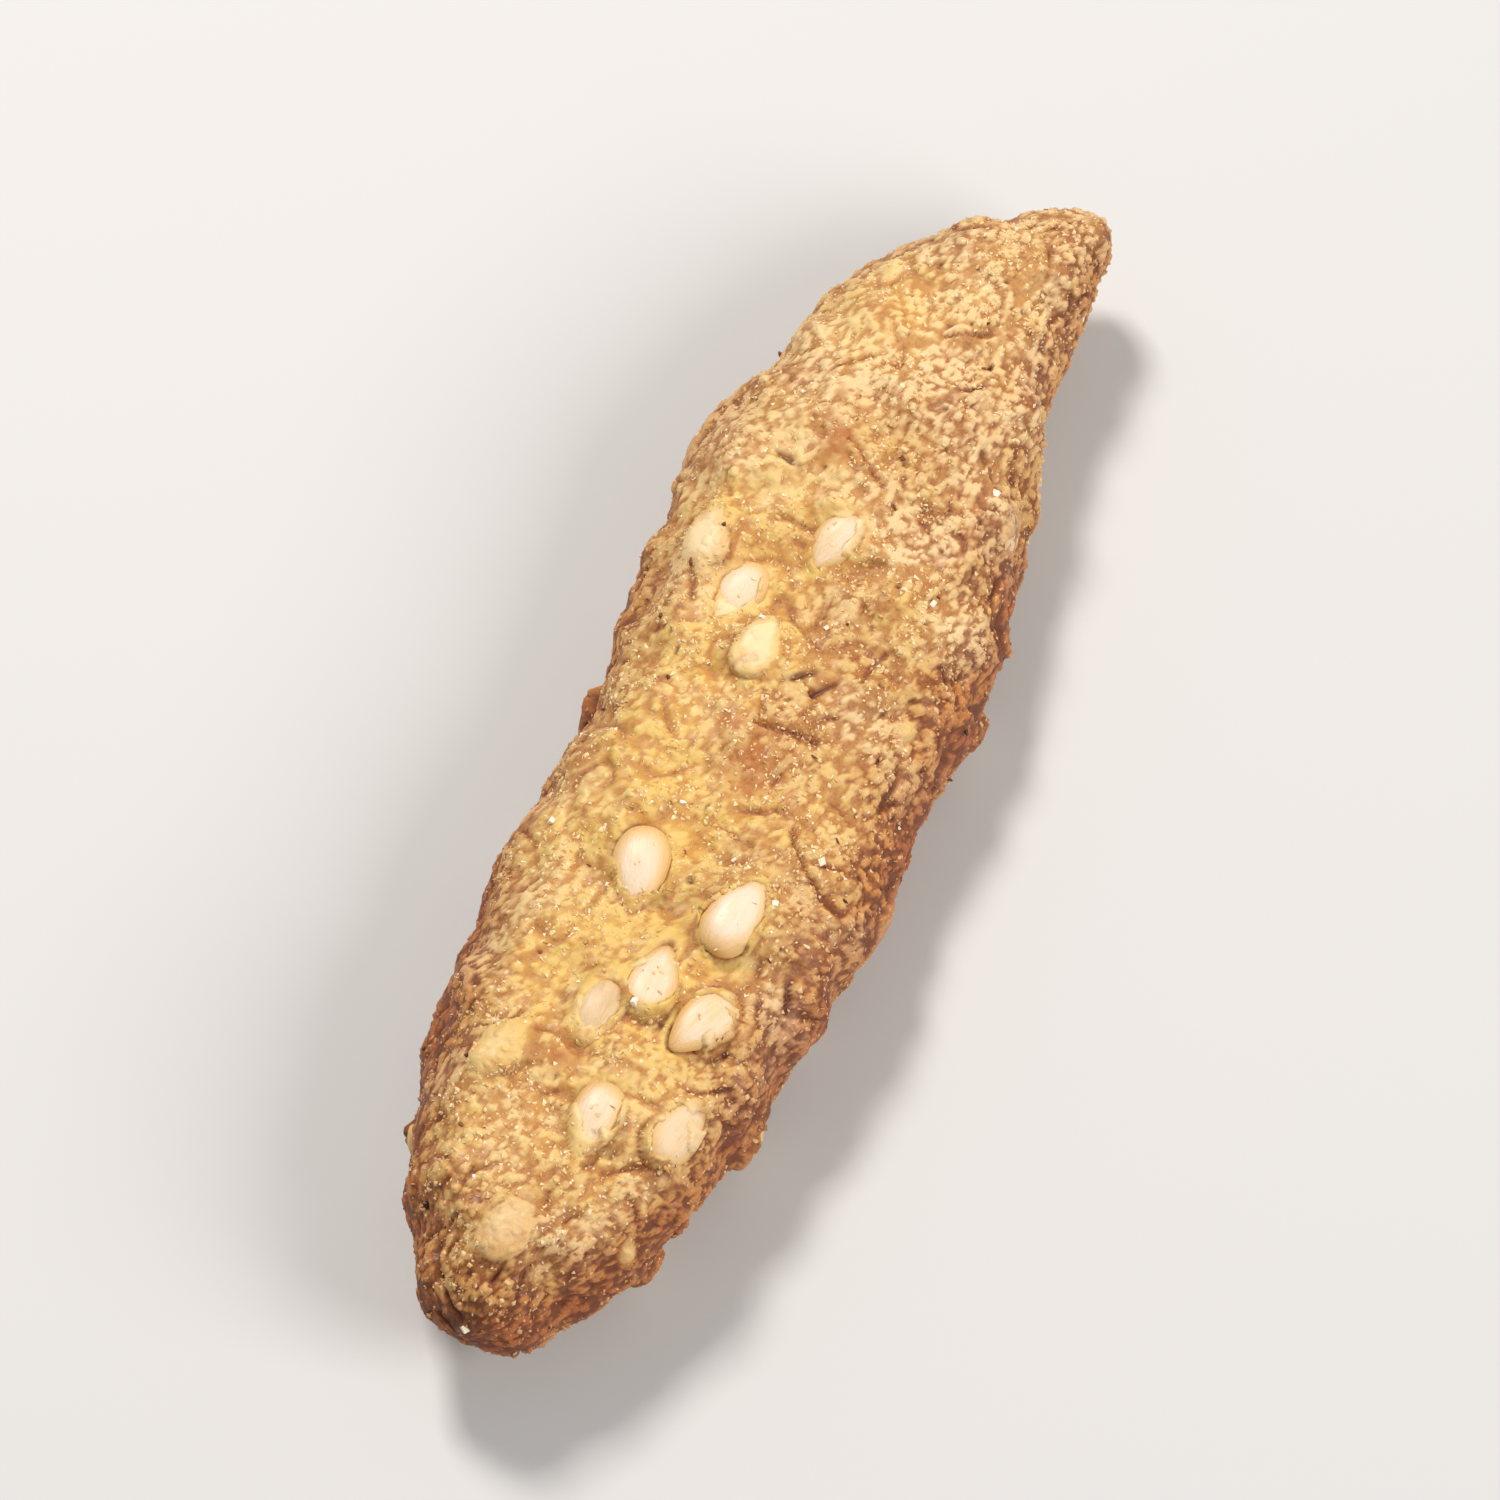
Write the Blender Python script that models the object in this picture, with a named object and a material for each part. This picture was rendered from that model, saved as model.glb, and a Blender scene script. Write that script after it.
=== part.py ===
"""A sesame stick: a fried strip of wheat dough with sesame seeds baked into it.

The stick lies along X on its plainer side, with its blunt end at -X and its
pointed end at +X. It is one solid: a flat, slightly bowed and twisted strip
with the swells and crags of its crust, and the seeds fused to it. Lengths are
in metres, and the origin is under the middle of the stick.
"""

import math
import random

import bmesh
import bpy
from mathutils import Matrix, Vector, noise
from mathutils.bvhtree import BVHTree

MM = 0.001

# The strip of dough
LENGTH = 48.5 * MM
END_ROUNDING = 3.6 * MM
CROWN = 0.11
BOW = 0.8 * MM
TWIST = math.radians(5.0)
RINGS = 104
SECTION_POINTS = 42

# The strip seen from above, in mm, each edge from the blunt end to the pointed end
FAR_EDGE = (
    (-24.25, -1.6), (-23.5, 0.2), (-21.8, 1.5), (-20.1, 2.8), (-15.5, 4.6), (-12.6, 5.4),
    (-9.0, 5.7), (-1.8, 5.6), (3.4, 6.2), (8.9, 7.1), (10.8, 7.0), (12.9, 6.3), (17.5, 5.1),
    (19.5, 4.3), (21.3, 3.1), (22.8, 1.2), (24.25, -1.6),
)
NEAR_EDGE = (
    (-24.25, -1.6), (-23.2, -3.5), (-20.3, -5.1), (-18.6, -5.9), (-13.6, -6.6), (-7.3, -6.9),
    (-4.2, -7.1), (0.5, -6.6), (7.8, -6.4), (10.5, -5.6), (13.2, -4.7), (17.8, -3.2),
    (19.4, -2.8), (22.2, -2.6), (23.8, -2.4), (24.25, -1.6),
)

# The strip seen from the side, in mm: half its thickness, full at the blunt end
HALF_THICKNESS = (
    (-24.25, 2.6), (-18.5, 3.05), (-14.0, 3.2), (-8.0, 2.95), (-2.0, 3.2), (4.0, 2.85), (10.0, 3.1),
    (18.0, 2.5), (24.25, 2.0),
)

# Relief of the crust: the size of a bump and its height, from broad swells to fine crags
RELIEF = ((6.5 * MM, 0.5 * MM), (2.4 * MM, 0.42 * MM), (1.2 * MM, 0.24 * MM))
UNDERSIDE_RELIEF_SHARE = 0.5

# The flat patch that the stick rests on: how much of the lowest crust is levelled
REST_DEPTH = 0.45 * MM

# Hulled sesame seeds
SEED_LENGTH = 3.1 * MM
SEED_WIDTH = 1.8 * MM
SEED_THICKNESS = 1.0 * MM
SEED_TAPER = 0.3
SEED_AROUND = 8
SEED_ALONG = 5

# Seeds of the shown side: x and y in mm, turn in degrees, size, share standing out
SHOWN_SEEDS = (
    (-7.0, 0.6, 197.0, 1.08, 0.48),
    (-10.6, -1.8, 4.0, 1.0, 0.44),
    (-16.2, -2.4, 182.0, 0.97, 0.44),
    (-7.2, -3.3, -8.0, 1.1, 0.5),
    (-11.2, -4.0, 158.0, 1.0, 0.47),
    (-15.0, -5.0, -11.0, 1.0, 0.4),
    (-12.5, -0.6, 184.0, 0.95, 0.32),
    (2.6, 0.9, 2.0, 0.9, 0.28),
    (4.3, 2.6, 171.0, 0.92, 0.28),
    (5.7, 4.5, 4.0, 0.9, 0.28),
    (7.5, 0.4, 168.0, 0.9, 0.28),
    (-15.3, 1.6, -16.0, 0.92, 0.25),
    (-20.9, -1.6, -8.0, 1.0, 0.25),
)

# Seeds of the other sides, drawn one by one and kept clear of each other
OTHER_SEEDS = 20
SEED_SPACING = 4.6 * MM
SEED_TRIES = 4000
SEED_DRAW = 11
OTHER_SEED_OUT = (0.28, 0.46)
OTHER_SEED_SIZE = (0.88, 1.06)
OTHER_SEED_TURN = 55.0
SHOWN_SIDE_FROM = 0.35
END_CLEARANCE = 5.5 * MM
FLOOR_CLEARANCE = 0.08 * MM

DOUGH_COLOUR = (0.665, 0.407, 0.176, 1.0)
SEED_COLOUR = (0.880, 0.740, 0.480, 1.0)


def clear_scene():
    """Remove every object, so that the stick is the only thing made."""
    for thing in list(bpy.data.objects):
        bpy.data.objects.remove(thing)


def make_material(name, colour, roughness):
    """Return a Principled material of one colour and roughness."""
    material = bpy.data.materials.new(name)
    material.use_nodes = True
    shader = material.node_tree.nodes["Principled BSDF"]
    shader.inputs["Base Color"].default_value = colour
    shader.inputs["Roughness"].default_value = roughness
    shader.inputs["Metallic"].default_value = 0.0
    return material


def sweep_angle(x):
    """Angle that runs from 0 at the blunt end to pi at the pointed end."""
    return math.acos(max(-1.0, min(1.0, -2.0 * x / LENGTH)))


def strip_curves():
    """Both edges and the thickness as (sweep angle, size) knots, so round ends stay smooth."""
    return [
        [(sweep_angle(x * MM), size * MM) for x, size in outline]
        for outline in (FAR_EDGE, NEAR_EDGE, HALF_THICKNESS)
    ]


def read_curve(knots, at):
    """Height of the smooth curve through the knots, by cubic pieces."""
    last = len(knots) - 1
    index = 0
    while index < last - 1 and knots[index + 1][0] < at:
        index += 1

    def slope(i):
        before, after = knots[max(i - 1, 0)], knots[min(i + 1, last)]
        return (after[1] - before[1]) / (after[0] - before[0])

    (start, low), (end, high) = knots[index], knots[index + 1]
    span = end - start
    t = (at - start) / span
    return (
        (2 * t**3 - 3 * t**2 + 1) * low
        + (t**3 - 2 * t**2 + t) * span * slope(index)
        + (3 * t**2 - 2 * t**3) * high
        + (t**3 - t**2) * span * slope(index + 1)
    )


def tip_rounding(x):
    """Share of the full thickness left near a tip, which ends in a quarter round."""
    to_tip = LENGTH / 2 - abs(x)
    return math.sqrt(1.0 - max(0.0, 1.0 - to_tip / END_ROUNDING) ** 2)


def section_point(half_width, half_height, turn):
    """Point of a flat oval with round edges, at a turn from 0 to 1 from its +Y edge."""
    edge = min(half_width, half_height)
    straight = half_width - edge
    arc = edge * math.pi / 2
    quarter, part = divmod(turn * 4.0, 1.0)
    along = (part if quarter in (0, 2) else 1.0 - part) * (arc + straight)
    if along < arc:
        y = straight + edge * math.cos(along / edge)
        z = half_height * math.sin(along / edge)
    else:
        y = straight - (along - arc)
        z = half_height
    z *= 1.0 + CROWN * (1.0 - (y / half_width) ** 2)
    return (y if quarter in (0, 3) else -y), (z if quarter in (0, 1) else -z)


def strip_point(curves, angle, turn):
    """Point of the smooth strip at a sweep angle along it and a turn around it."""
    far_y, near_y, half_height = (read_curve(curve, angle) for curve in curves)
    x = -LENGTH / 2 * math.cos(angle)
    y, z = section_point((far_y - near_y) / 2, half_height * tip_rounding(x), turn)
    reach = x / (LENGTH / 2)
    tilt = TWIST * reach
    return Vector((
        x,
        (far_y + near_y) / 2 + y * math.cos(tilt) - z * math.sin(tilt),
        BOW * reach**2 + y * math.sin(tilt) + z * math.cos(tilt),
    ))


def add_strip(bm):
    """Loft the strip: rings of points joined by quads, with a point at each tip."""
    curves = strip_curves()
    rings = []
    for ring in range(1, RINGS):
        angle = math.pi * ring / RINGS
        turns = (step / SECTION_POINTS for step in range(SECTION_POINTS))
        rings.append([bm.verts.new(strip_point(curves, angle, turn)) for turn in turns])
    for one, two in zip(rings, rings[1:]):
        for step in range(SECTION_POINTS):
            after = (step + 1) % SECTION_POINTS
            bm.faces.new((one[step], one[after], two[after], two[step]))
    for ring, reach in ((rings[0][::-1], -1.0), (rings[-1], 1.0)):
        tip = bm.verts.new((reach * LENGTH / 2, NEAR_EDGE[0][1] * MM, BOW))
        for step in range(SECTION_POINTS):
            bm.faces.new((tip, ring[step], ring[(step + 1) % SECTION_POINTS]))
    bmesh.ops.recalc_face_normals(bm, faces=bm.faces)


def roughen(bm):
    """Raise the crust's swells and crags along the surface normals."""
    bm.normal_update()
    moves = []
    for vert in bm.verts:
        height = sum(noise.noise(vert.co / size) * high for size, high in RELIEF)
        if vert.normal.z < 0.0:
            height *= 1.0 + (1.0 - UNDERSIDE_RELIEF_SHARE) * vert.normal.z
        moves.append(vert.normal * height)
    for vert, move in zip(bm.verts, moves):
        vert.co += move


def rest_on_floor(bm):
    """Level the lowest crust to a flat patch, and stand it on z = 0."""
    level = min(vert.co.z for vert in bm.verts) + REST_DEPTH
    for vert in bm.verts:
        vert.co.z = max(vert.co.z, level) - level


def seed_solid(bm, seat, size):
    """Add a seed to the mesh: a flattened drop, its pointed end along the seat's X."""
    made = bmesh.ops.create_uvsphere(
        bm, u_segments=SEED_AROUND, v_segments=SEED_ALONG, radius=0.5 * size
    )
    for vert in made["verts"]:
        along = vert.co.z
        taper = 1.0 - SEED_TAPER * along / (0.5 * size)
        vert.co = seat @ Vector((
            along * SEED_LENGTH,
            vert.co.x * SEED_WIDTH * taper,
            vert.co.y * SEED_THICKNESS * taper,
        ))


def seed_seat(point, normal, turn, out):
    """Place of a seed on the crust: its length along the stick, turned about the normal."""
    along = (Vector((1.0, 0.0, 0.0)) - normal * normal.x).normalized()
    frame = Matrix((along, normal.cross(along), normal)).transposed().to_4x4()
    depth = (0.5 - out) * SEED_THICKNESS
    return Matrix.Translation(point - normal * depth) @ frame @ Matrix.Rotation(turn, 4, "Z")


def lowest_of(seat, size):
    """Lowest height that a seed reaches at its seat."""
    reaches = (SEED_LENGTH, SEED_WIDTH, SEED_THICKNESS)
    drop = math.hypot(*(size / 2 * reach * seat[2][axis] for axis, reach in enumerate(reaches)))
    return seat.translation.z - drop


def shown_seats(crust):
    """Seats of the seeds of the shown side, found by looking straight down on each."""
    for x, y, turn, size, out in SHOWN_SEEDS:
        above = Vector((x * MM, y * MM, LENGTH))
        point, normal, _, _ = crust.ray_cast(above, Vector((0.0, 0.0, -1.0)))
        yield seed_seat(point, normal, math.radians(turn), out), size


def other_seats(crust, taken):
    """Seats of the seeds of the edges and the underside, spaced from all the others."""
    draw = random.Random(SEED_DRAW)
    curves = strip_curves()
    clear_angle = sweep_angle(-LENGTH / 2 + END_CLEARANCE)
    places = [seat.translation for seat in taken]
    seats = []
    for _ in range(SEED_TRIES):
        angle = draw.uniform(clear_angle, math.pi - clear_angle)
        guide = strip_point(curves, angle, draw.random())
        turn = math.radians(draw.uniform(-OTHER_SEED_TURN, OTHER_SEED_TURN) + draw.choice((0, 180)))
        size, out = draw.uniform(*OTHER_SEED_SIZE), draw.uniform(*OTHER_SEED_OUT)
        point, normal, _, _ = crust.find_nearest(guide)
        seat = seed_seat(point, normal, turn, out)
        if normal.z > SHOWN_SIDE_FROM or lowest_of(seat, size) < FLOOR_CLEARANCE:
            continue
        if any((point - place).length < SEED_SPACING for place in places):
            continue
        places.append(point)
        seats.append((seat, size))
        if len(seats) == OTHER_SEEDS:
            break
    return seats


def new_object(name, bm, material, collection):
    """Turn a mesh under construction into an object in a collection."""
    mesh = bpy.data.meshes.new(name)
    bm.to_mesh(mesh)
    bm.free()
    mesh.materials.append(material)
    thing = bpy.data.objects.new(name, mesh)
    collection.objects.link(thing)
    return thing


def fuse(stick, seeds):
    """Join the seeds to the dough by one Boolean union, then remove the loose seeds."""
    union = stick.modifiers.new("fuse_seeds", "BOOLEAN")
    union.operation = "UNION"
    union.operand_type = "COLLECTION"
    union.collection = seeds
    union.solver = "EXACT"
    union.material_mode = "TRANSFER"
    fused = bpy.data.meshes.new_from_object(
        stick.evaluated_get(bpy.context.evaluated_depsgraph_get())
    )
    stick.modifiers.remove(union)
    stick.data = fused
    stick.data.shade_smooth()
    for seed in list(seeds.objects):
        bpy.data.objects.remove(seed)
    bpy.data.collections.remove(seeds)


def build_stick():
    """Model the dough, set the seeds into it, and fuse them."""
    scene_objects = bpy.context.scene.collection
    dough_material = make_material("toasted_wheat_dough", DOUGH_COLOUR, 0.62)
    seed_material = make_material("hulled_sesame", SEED_COLOUR, 0.4)

    dough = bmesh.new()
    add_strip(dough)
    roughen(dough)
    rest_on_floor(dough)
    crust = BVHTree.FromBMesh(dough)
    stick = new_object("sesame_stick", dough, dough_material, scene_objects)

    seats = list(shown_seats(crust))
    seats += other_seats(crust, [seat for seat, _ in seats])
    seeds = bpy.data.collections.new("seeds")
    scene_objects.children.link(seeds)
    for number, (seat, size) in enumerate(seats):
        seed = bmesh.new()
        seed_solid(seed, seat, size)
        new_object(f"seed_{number:02d}", seed, seed_material, seeds)

    fuse(stick, seeds)


clear_scene()
build_stick()
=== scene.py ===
"""A sesame stick, dressed: one fried strip of wheat dough on a pale table.

The crust repeats the solid's own driving sizes at a fine pitch, and adds what
the solid leaves out: the crumb, the lips of dough round the seeds, blisters,
creases, slits, pores and the browning of the frying. Sesame seeds, loose crumb,
salt and bran are pieces of their own, set on the same crust.
"""

import logging
import math
import random
from dataclasses import dataclass, replace
from enum import Enum
from typing import Iterable, Iterator

import bmesh
import bpy
import numpy as np
from bpy.types import Material, Mesh, Node, NodeSocket, NodeTree, Object
from mathutils import Matrix, Vector, noise
from mathutils.bvhtree import BVHTree


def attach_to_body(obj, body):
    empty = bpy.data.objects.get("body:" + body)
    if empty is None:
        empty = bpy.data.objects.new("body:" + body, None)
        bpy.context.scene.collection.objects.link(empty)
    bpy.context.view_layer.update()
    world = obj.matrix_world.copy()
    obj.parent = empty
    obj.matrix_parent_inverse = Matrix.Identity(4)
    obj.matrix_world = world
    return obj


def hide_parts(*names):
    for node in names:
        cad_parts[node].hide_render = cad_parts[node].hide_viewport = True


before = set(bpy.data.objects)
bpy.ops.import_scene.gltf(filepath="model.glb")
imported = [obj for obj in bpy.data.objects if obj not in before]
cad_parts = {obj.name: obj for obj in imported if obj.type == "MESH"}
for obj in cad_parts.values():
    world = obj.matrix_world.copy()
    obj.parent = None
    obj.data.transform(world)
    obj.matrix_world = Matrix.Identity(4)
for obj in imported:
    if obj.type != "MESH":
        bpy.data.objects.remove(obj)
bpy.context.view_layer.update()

MM = 0.001
BODY = "root"
NODE = "sesame_stick"
log = logging.getLogger("sesame_stick")


def linear(hex_colour: str) -> tuple[float, ...]:
    """Turn an sRGB colour, as "#rrggbb", to linear light with an alpha of one."""
    parts = (int(hex_colour[place:place + 2], 16) / 255 for place in (1, 3, 5))
    return *(part / 12.92 if part <= 0.04045 else ((part + 0.055) / 1.055) ** 2.4 for part in parts), 1.0


def feed(node: Node, inputs: dict | tuple) -> None:
    """Set a node's inputs.

    Args:
        node: The node.
        inputs: The inputs by name or in order, each a value or the output that feeds it.
            A node stands for its first output in use.
    """
    for place, value in inputs.items() if isinstance(inputs, dict) else enumerate(inputs):
        if isinstance(value, Node):
            value = next(output for output in value.outputs if output.enabled)
        if isinstance(value, NodeSocket):
            node.id_data.links.new(value, node.inputs[place])
        else:
            node.inputs[place].default_value = value


def add_node(tree: NodeTree, kind: str, inputs: dict | tuple = (), **settings) -> Node:
    """Add a node to a tree.

    Args:
        tree: The shader or geometry tree.
        kind: The node's type.
        inputs: Its inputs, as feed takes them.
        **settings: The node's own properties.

    Returns:
        The new node.
    """
    node = tree.nodes.new(kind)
    for name, value in settings.items():
        setattr(node, name, value)
    feed(node, inputs)
    return node


def start_material(name: str, *attributes: str) -> tuple[Material, Node, list[NodeSocket]]:
    """Begin a material.

    Args:
        name: Its name.
        *attributes: The mesh attributes that it reads.

    Returns:
        The material, its shader, and what each attribute gives.
    """
    made = bpy.data.materials.new(name)
    made.use_nodes = True
    tree = made.node_tree
    read = [add_node(tree, "ShaderNodeAttribute", attribute_name=attribute) for attribute in attributes]
    return made, tree.nodes["Principled BSDF"], [node.outputs["Fac"] for node in read]


def dress(shader: Node, colour: Node | tuple, layers: tuple, inputs: dict) -> None:
    """Lay tints over a colour for a material's shader, and set its other inputs.

    Args:
        shader: The shader.
        colour: The lowest colour.
        layers: The share and the tint of each layer. A tint is a hex colour or a node.
        inputs: The other inputs, as feed takes them.
    """
    for share, tint in layers:
        mixed = {"Factor": share, 6: colour, 7: linear(tint) if isinstance(tint, str) else tint}
        colour = add_node(shader.id_data, "ShaderNodeMix", mixed, data_type="RGBA")
    feed(shader, {"Base Color": colour} | inputs)


def smoothstep(low: float, high: float, value: np.ndarray) -> np.ndarray:
    """Ease from 0 at low to 1 at high, for arrays and single numbers alike."""
    share = np.clip((value - low) / (high - low), 0.0, 1.0)
    return share * share * (3.0 - 2.0 * share)


def drift(points: Iterable, size: float, shift: tuple = (0.0, 0.0, 0.0)) -> np.ndarray:
    """Read smooth noise at some points, with swells of a size, from a shifted place."""
    return np.array([noise.noise(Vector(point) / size + Vector(shift)) for point in points])


def cell_at(place: Vector, salt: float) -> tuple[float, float]:
    """How far a place is from its noise cell's middle, and the cell's lot from -1 to 1, by a salt."""
    distances, centres = noise.voronoi(place)
    return distances[0], noise.cell(centres[0] * salt)


def link_object(name: str, data: bpy.types.ID) -> Object:
    """Put a mesh, lamp or camera into the scene.

    Args:
        name: The object's name.
        data: What it shows.

    Returns:
        The object, at the origin.
    """
    thing = bpy.data.objects.new(name, data)
    bpy.context.scene.collection.objects.link(thing)
    return thing


def set_attribute(mesh: Mesh, name: str, values: np.ndarray) -> None:
    """Store one number for each point of a mesh."""
    layer = mesh.attributes.new(name, "FLOAT", "POINT")
    layer.data.foreach_set("value", np.asarray(values, np.float32))


@dataclass(frozen=True)
class Strip:
    """The strip of dough, with the driving sizes of the solid. Outlines are in mm."""

    length: float = 48.5 * MM
    end_rounding: float = 3.6 * MM
    crown: float = 0.11
    bow: float = 0.8 * MM
    twist: float = math.radians(5.0)
    rings: int = 104
    section_points: int = 42
    far_edge: tuple = (
        (-24.25, -1.6), (-23.5, 0.2), (-21.8, 1.5), (-20.1, 2.8), (-15.5, 4.6), (-12.6, 5.4),
        (-9.0, 5.7), (-1.8, 5.6), (3.4, 6.2), (8.9, 7.1), (10.8, 7.0), (12.9, 6.3), (17.5, 5.1),
        (19.5, 4.3), (21.3, 3.1), (22.8, 1.2), (24.25, -1.6),
    )
    near_edge: tuple = (
        (-24.25, -1.6), (-23.2, -3.5), (-20.3, -5.1), (-18.6, -5.9), (-13.6, -6.6), (-7.3, -6.9),
        (-4.2, -7.1), (0.5, -6.6), (7.8, -6.4), (10.5, -5.6), (13.2, -4.7), (17.8, -3.2),
        (19.4, -2.8), (22.2, -2.6), (23.8, -2.4), (24.25, -1.6),
    )
    half_thickness: tuple = (
        (-24.25, 2.6), (-18.5, 3.05), (-14.0, 3.2), (-8.0, 2.95), (-2.0, 3.2), (4.0, 2.85), (10.0, 3.1),
        (18.0, 2.5), (24.25, 2.0),
    )
    relief: tuple = ((6.5 * MM, 0.5 * MM), (2.4 * MM, 0.42 * MM), (1.2 * MM, 0.24 * MM))
    underside_relief_share: float = 0.5
    rest_depth: float = 0.45 * MM
    outline_steps: int = 200
    # For rings spaced evenly: the sweep angle kept clear of each tip, and the steps
    tip_angle: float = 0.004
    even_steps: int = 1600

    def sweep_angle(self, x: float) -> float:
        """Angle that runs from 0 at the blunt end to pi at the pointed end."""
        return math.acos(max(-1.0, min(1.0, -2.0 * x / self.length)))

    def curves(self) -> list[list[tuple[float, float]]]:
        """Both edges and the thickness as (sweep angle, size) knots."""
        outlines = (self.far_edge, self.near_edge, self.half_thickness)
        return [[(self.sweep_angle(x * MM), size * MM) for x, size in outline] for outline in outlines]

    @staticmethod
    def read_curve(knots: list[tuple[float, float]], at: float) -> float:
        """Read the smooth curve through some knots.

        Args:
            knots: Places along the curve with their heights.
            at: The place to read.

        Returns:
            The height there, by cubic pieces.
        """
        last = len(knots) - 1
        index = 0
        while index < last - 1 and knots[index + 1][0] < at:
            index += 1
        slopes = []
        for knot in (index, index + 1):
            before, after = knots[max(knot - 1, 0)], knots[min(knot + 1, last)]
            slopes.append((after[1] - before[1]) / (after[0] - before[0]))
        (start, low), (end, high) = knots[index], knots[index + 1]
        span = end - start
        t = (at - start) / span
        return (
            (2 * t**3 - 3 * t**2 + 1) * low
            + (t**3 - 2 * t**2 + t) * span * slopes[0]
            + (3 * t**2 - 2 * t**3) * high
            + (t**3 - t**2) * span * slopes[1]
        )

    def section_point(self, half_width: float, half_height: float, turn: float) -> tuple[float, float]:
        """Point of a flat oval with round edges.

        Args:
            half_width: Half its width.
            half_height: Half its height at the round edge.
            turn: From 0 to 1 round the oval, from its +Y edge.

        Returns:
            The point's y and z.
        """
        edge = min(half_width, half_height)
        straight = half_width - edge
        arc = edge * math.pi / 2
        quarter, part = divmod(turn * 4.0, 1.0)
        along = (part if quarter in (0, 2) else 1.0 - part) * (arc + straight)
        y, z = straight - (along - arc), half_height
        if along < arc:
            y = straight + edge * math.cos(along / edge)
            z = half_height * math.sin(along / edge)
        z *= 1.0 + self.crown * (1.0 - (y / half_width) ** 2)
        return (y if quarter in (0, 3) else -y), (z if quarter in (0, 1) else -z)

    def ring(self, curves: list, angle: float, turns: list[float]) -> list[Vector]:
        """Points of the smooth strip at one sweep angle.

        Args:
            curves: The knots that curves() gives.
            angle: The sweep angle.
            turns: Where round the section each point lies, from 0 to 1.

        Returns:
            One point for each turn.
        """
        far_y, near_y, half_height = (self.read_curve(curve, angle) for curve in curves)
        x = -self.length / 2 * math.cos(angle)
        to_tip = self.length / 2 - abs(x)
        rounding = math.sqrt(1.0 - max(0.0, 1.0 - to_tip / self.end_rounding) ** 2)
        reach = x / (self.length / 2)
        tilt = self.twist * reach
        points = []
        for turn in turns:
            y, z = self.section_point((far_y - near_y) / 2, half_height * rounding, turn)
            points.append(Vector((
                x,
                (far_y + near_y) / 2 + y * math.cos(tilt) - z * math.sin(tilt),
                self.bow * reach**2 + y * math.sin(tilt) + z * math.cos(tilt),
            )))
        return points

    def loft(self, angles: list[float], turns: list[float]) -> bmesh.types.BMesh:
        """Skin the smooth strip with quads, and close it with a point at each tip.

        Args:
            angles: The sweep angle of each ring.
            turns: Where round the section its points lie, from 0 to 1.

        Returns:
            The closed mesh, its faces pointing out.
        """
        bm = bmesh.new()
        curves = self.curves()
        around = len(turns)
        rings = [[bm.verts.new(point) for point in self.ring(curves, angle, turns)] for angle in angles]
        for one, two in zip(rings, rings[1:]):
            for step in range(around):
                after = (step + 1) % around
                bm.faces.new((one[step], one[after], two[after], two[step]))
        tip_y = self.near_edge[0][1] * MM
        for ring, reach in ((rings[0][::-1], -1.0), (rings[-1], 1.0)):
            tip = bm.verts.new((reach * self.length / 2, tip_y, self.bow))
            for step in range(around):
                bm.faces.new((tip, ring[step], ring[(step + 1) % around]))
        bmesh.ops.recalc_face_normals(bm, faces=bm.faces)
        bm.normal_update()
        return bm

    def swells(self, bm: bmesh.types.BMesh) -> None:
        """Raise the swells and crags that the solid has too.

        Args:
            bm: The smooth strip.
        """
        for vert in bm.verts:
            height = sum(noise.noise(vert.co / size) * high for size, high in self.relief)
            height *= 1.0 + (1.0 - self.underside_relief_share) * min(vert.normal.z, 0.0)
            vert.co += vert.normal * height

    @staticmethod
    def level(bm: bmesh.types.BMesh, height: float) -> None:
        """Level the crust below a height to a flat patch at z = 0."""
        for vert in bm.verts:
            vert.co.z = max(vert.co.z, height) - height

    def coarse_crust(self) -> tuple[bmesh.types.BMesh, float]:
        """The solid's own crust.

        Returns:
            Its mesh, and the height that it was levelled at.
        """
        angles = [math.pi * ring / self.rings for ring in range(1, self.rings)]
        bm = self.loft(angles, [step / self.section_points for step in range(self.section_points)])
        self.swells(bm)
        height = min(vert.co.z for vert in bm.verts) + self.rest_depth
        self.level(bm, height)
        return bm, height

    def outline(self) -> tuple[list[float], ...]:
        """Plan of the strip in mm.

        Returns:
            Places along X, and the far and the near edge's y there.
        """
        angles = [math.pi * step / self.outline_steps for step in range(self.outline_steps + 1)]
        at = [-self.length / 2 / MM * math.cos(angle) for angle in angles]
        return at, *([self.read_curve(edge, angle) / MM for angle in angles] for edge in self.curves()[:2])

    def even_angles(self, count: int) -> list[float]:
        """Sweep angles that space rings evenly over the surface.

        Args:
            count: How many rings.

        Returns:
            Their sweep angles.
        """
        curves = self.curves()
        fine = np.linspace(self.tip_angle, math.pi - self.tip_angle, self.even_steps)
        turns = [step / 8 for step in range(8)]
        rows = np.array([[tuple(point) for point in self.ring(curves, angle, turns)] for angle in fine])
        steps = np.linalg.norm(np.diff(rows, axis=0), axis=2).mean(axis=1)
        travelled = np.concatenate([[0.0], np.cumsum(steps)])
        return list(np.interp(np.linspace(0.0, travelled[-1], count), travelled, fine))


@dataclass(frozen=True)
class Seat:
    """How one sesame seed sits in the dough, as the eye reads it.

    Out is the share of it that stands out of the dough, and veil the share that dough
    creeps over. Buried is above 0 where its point is covered most, and below 0 where
    its round end is. Glow is how pale it shines through a skin of dough, and dull how
    grey and glassy it is. Place carries the seed to its seat.
    """

    size: float
    out: float
    veil: float
    buried: float = 0.0
    glow: float = 0.6
    dull: float = 0.0
    place: Matrix | None = None


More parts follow.
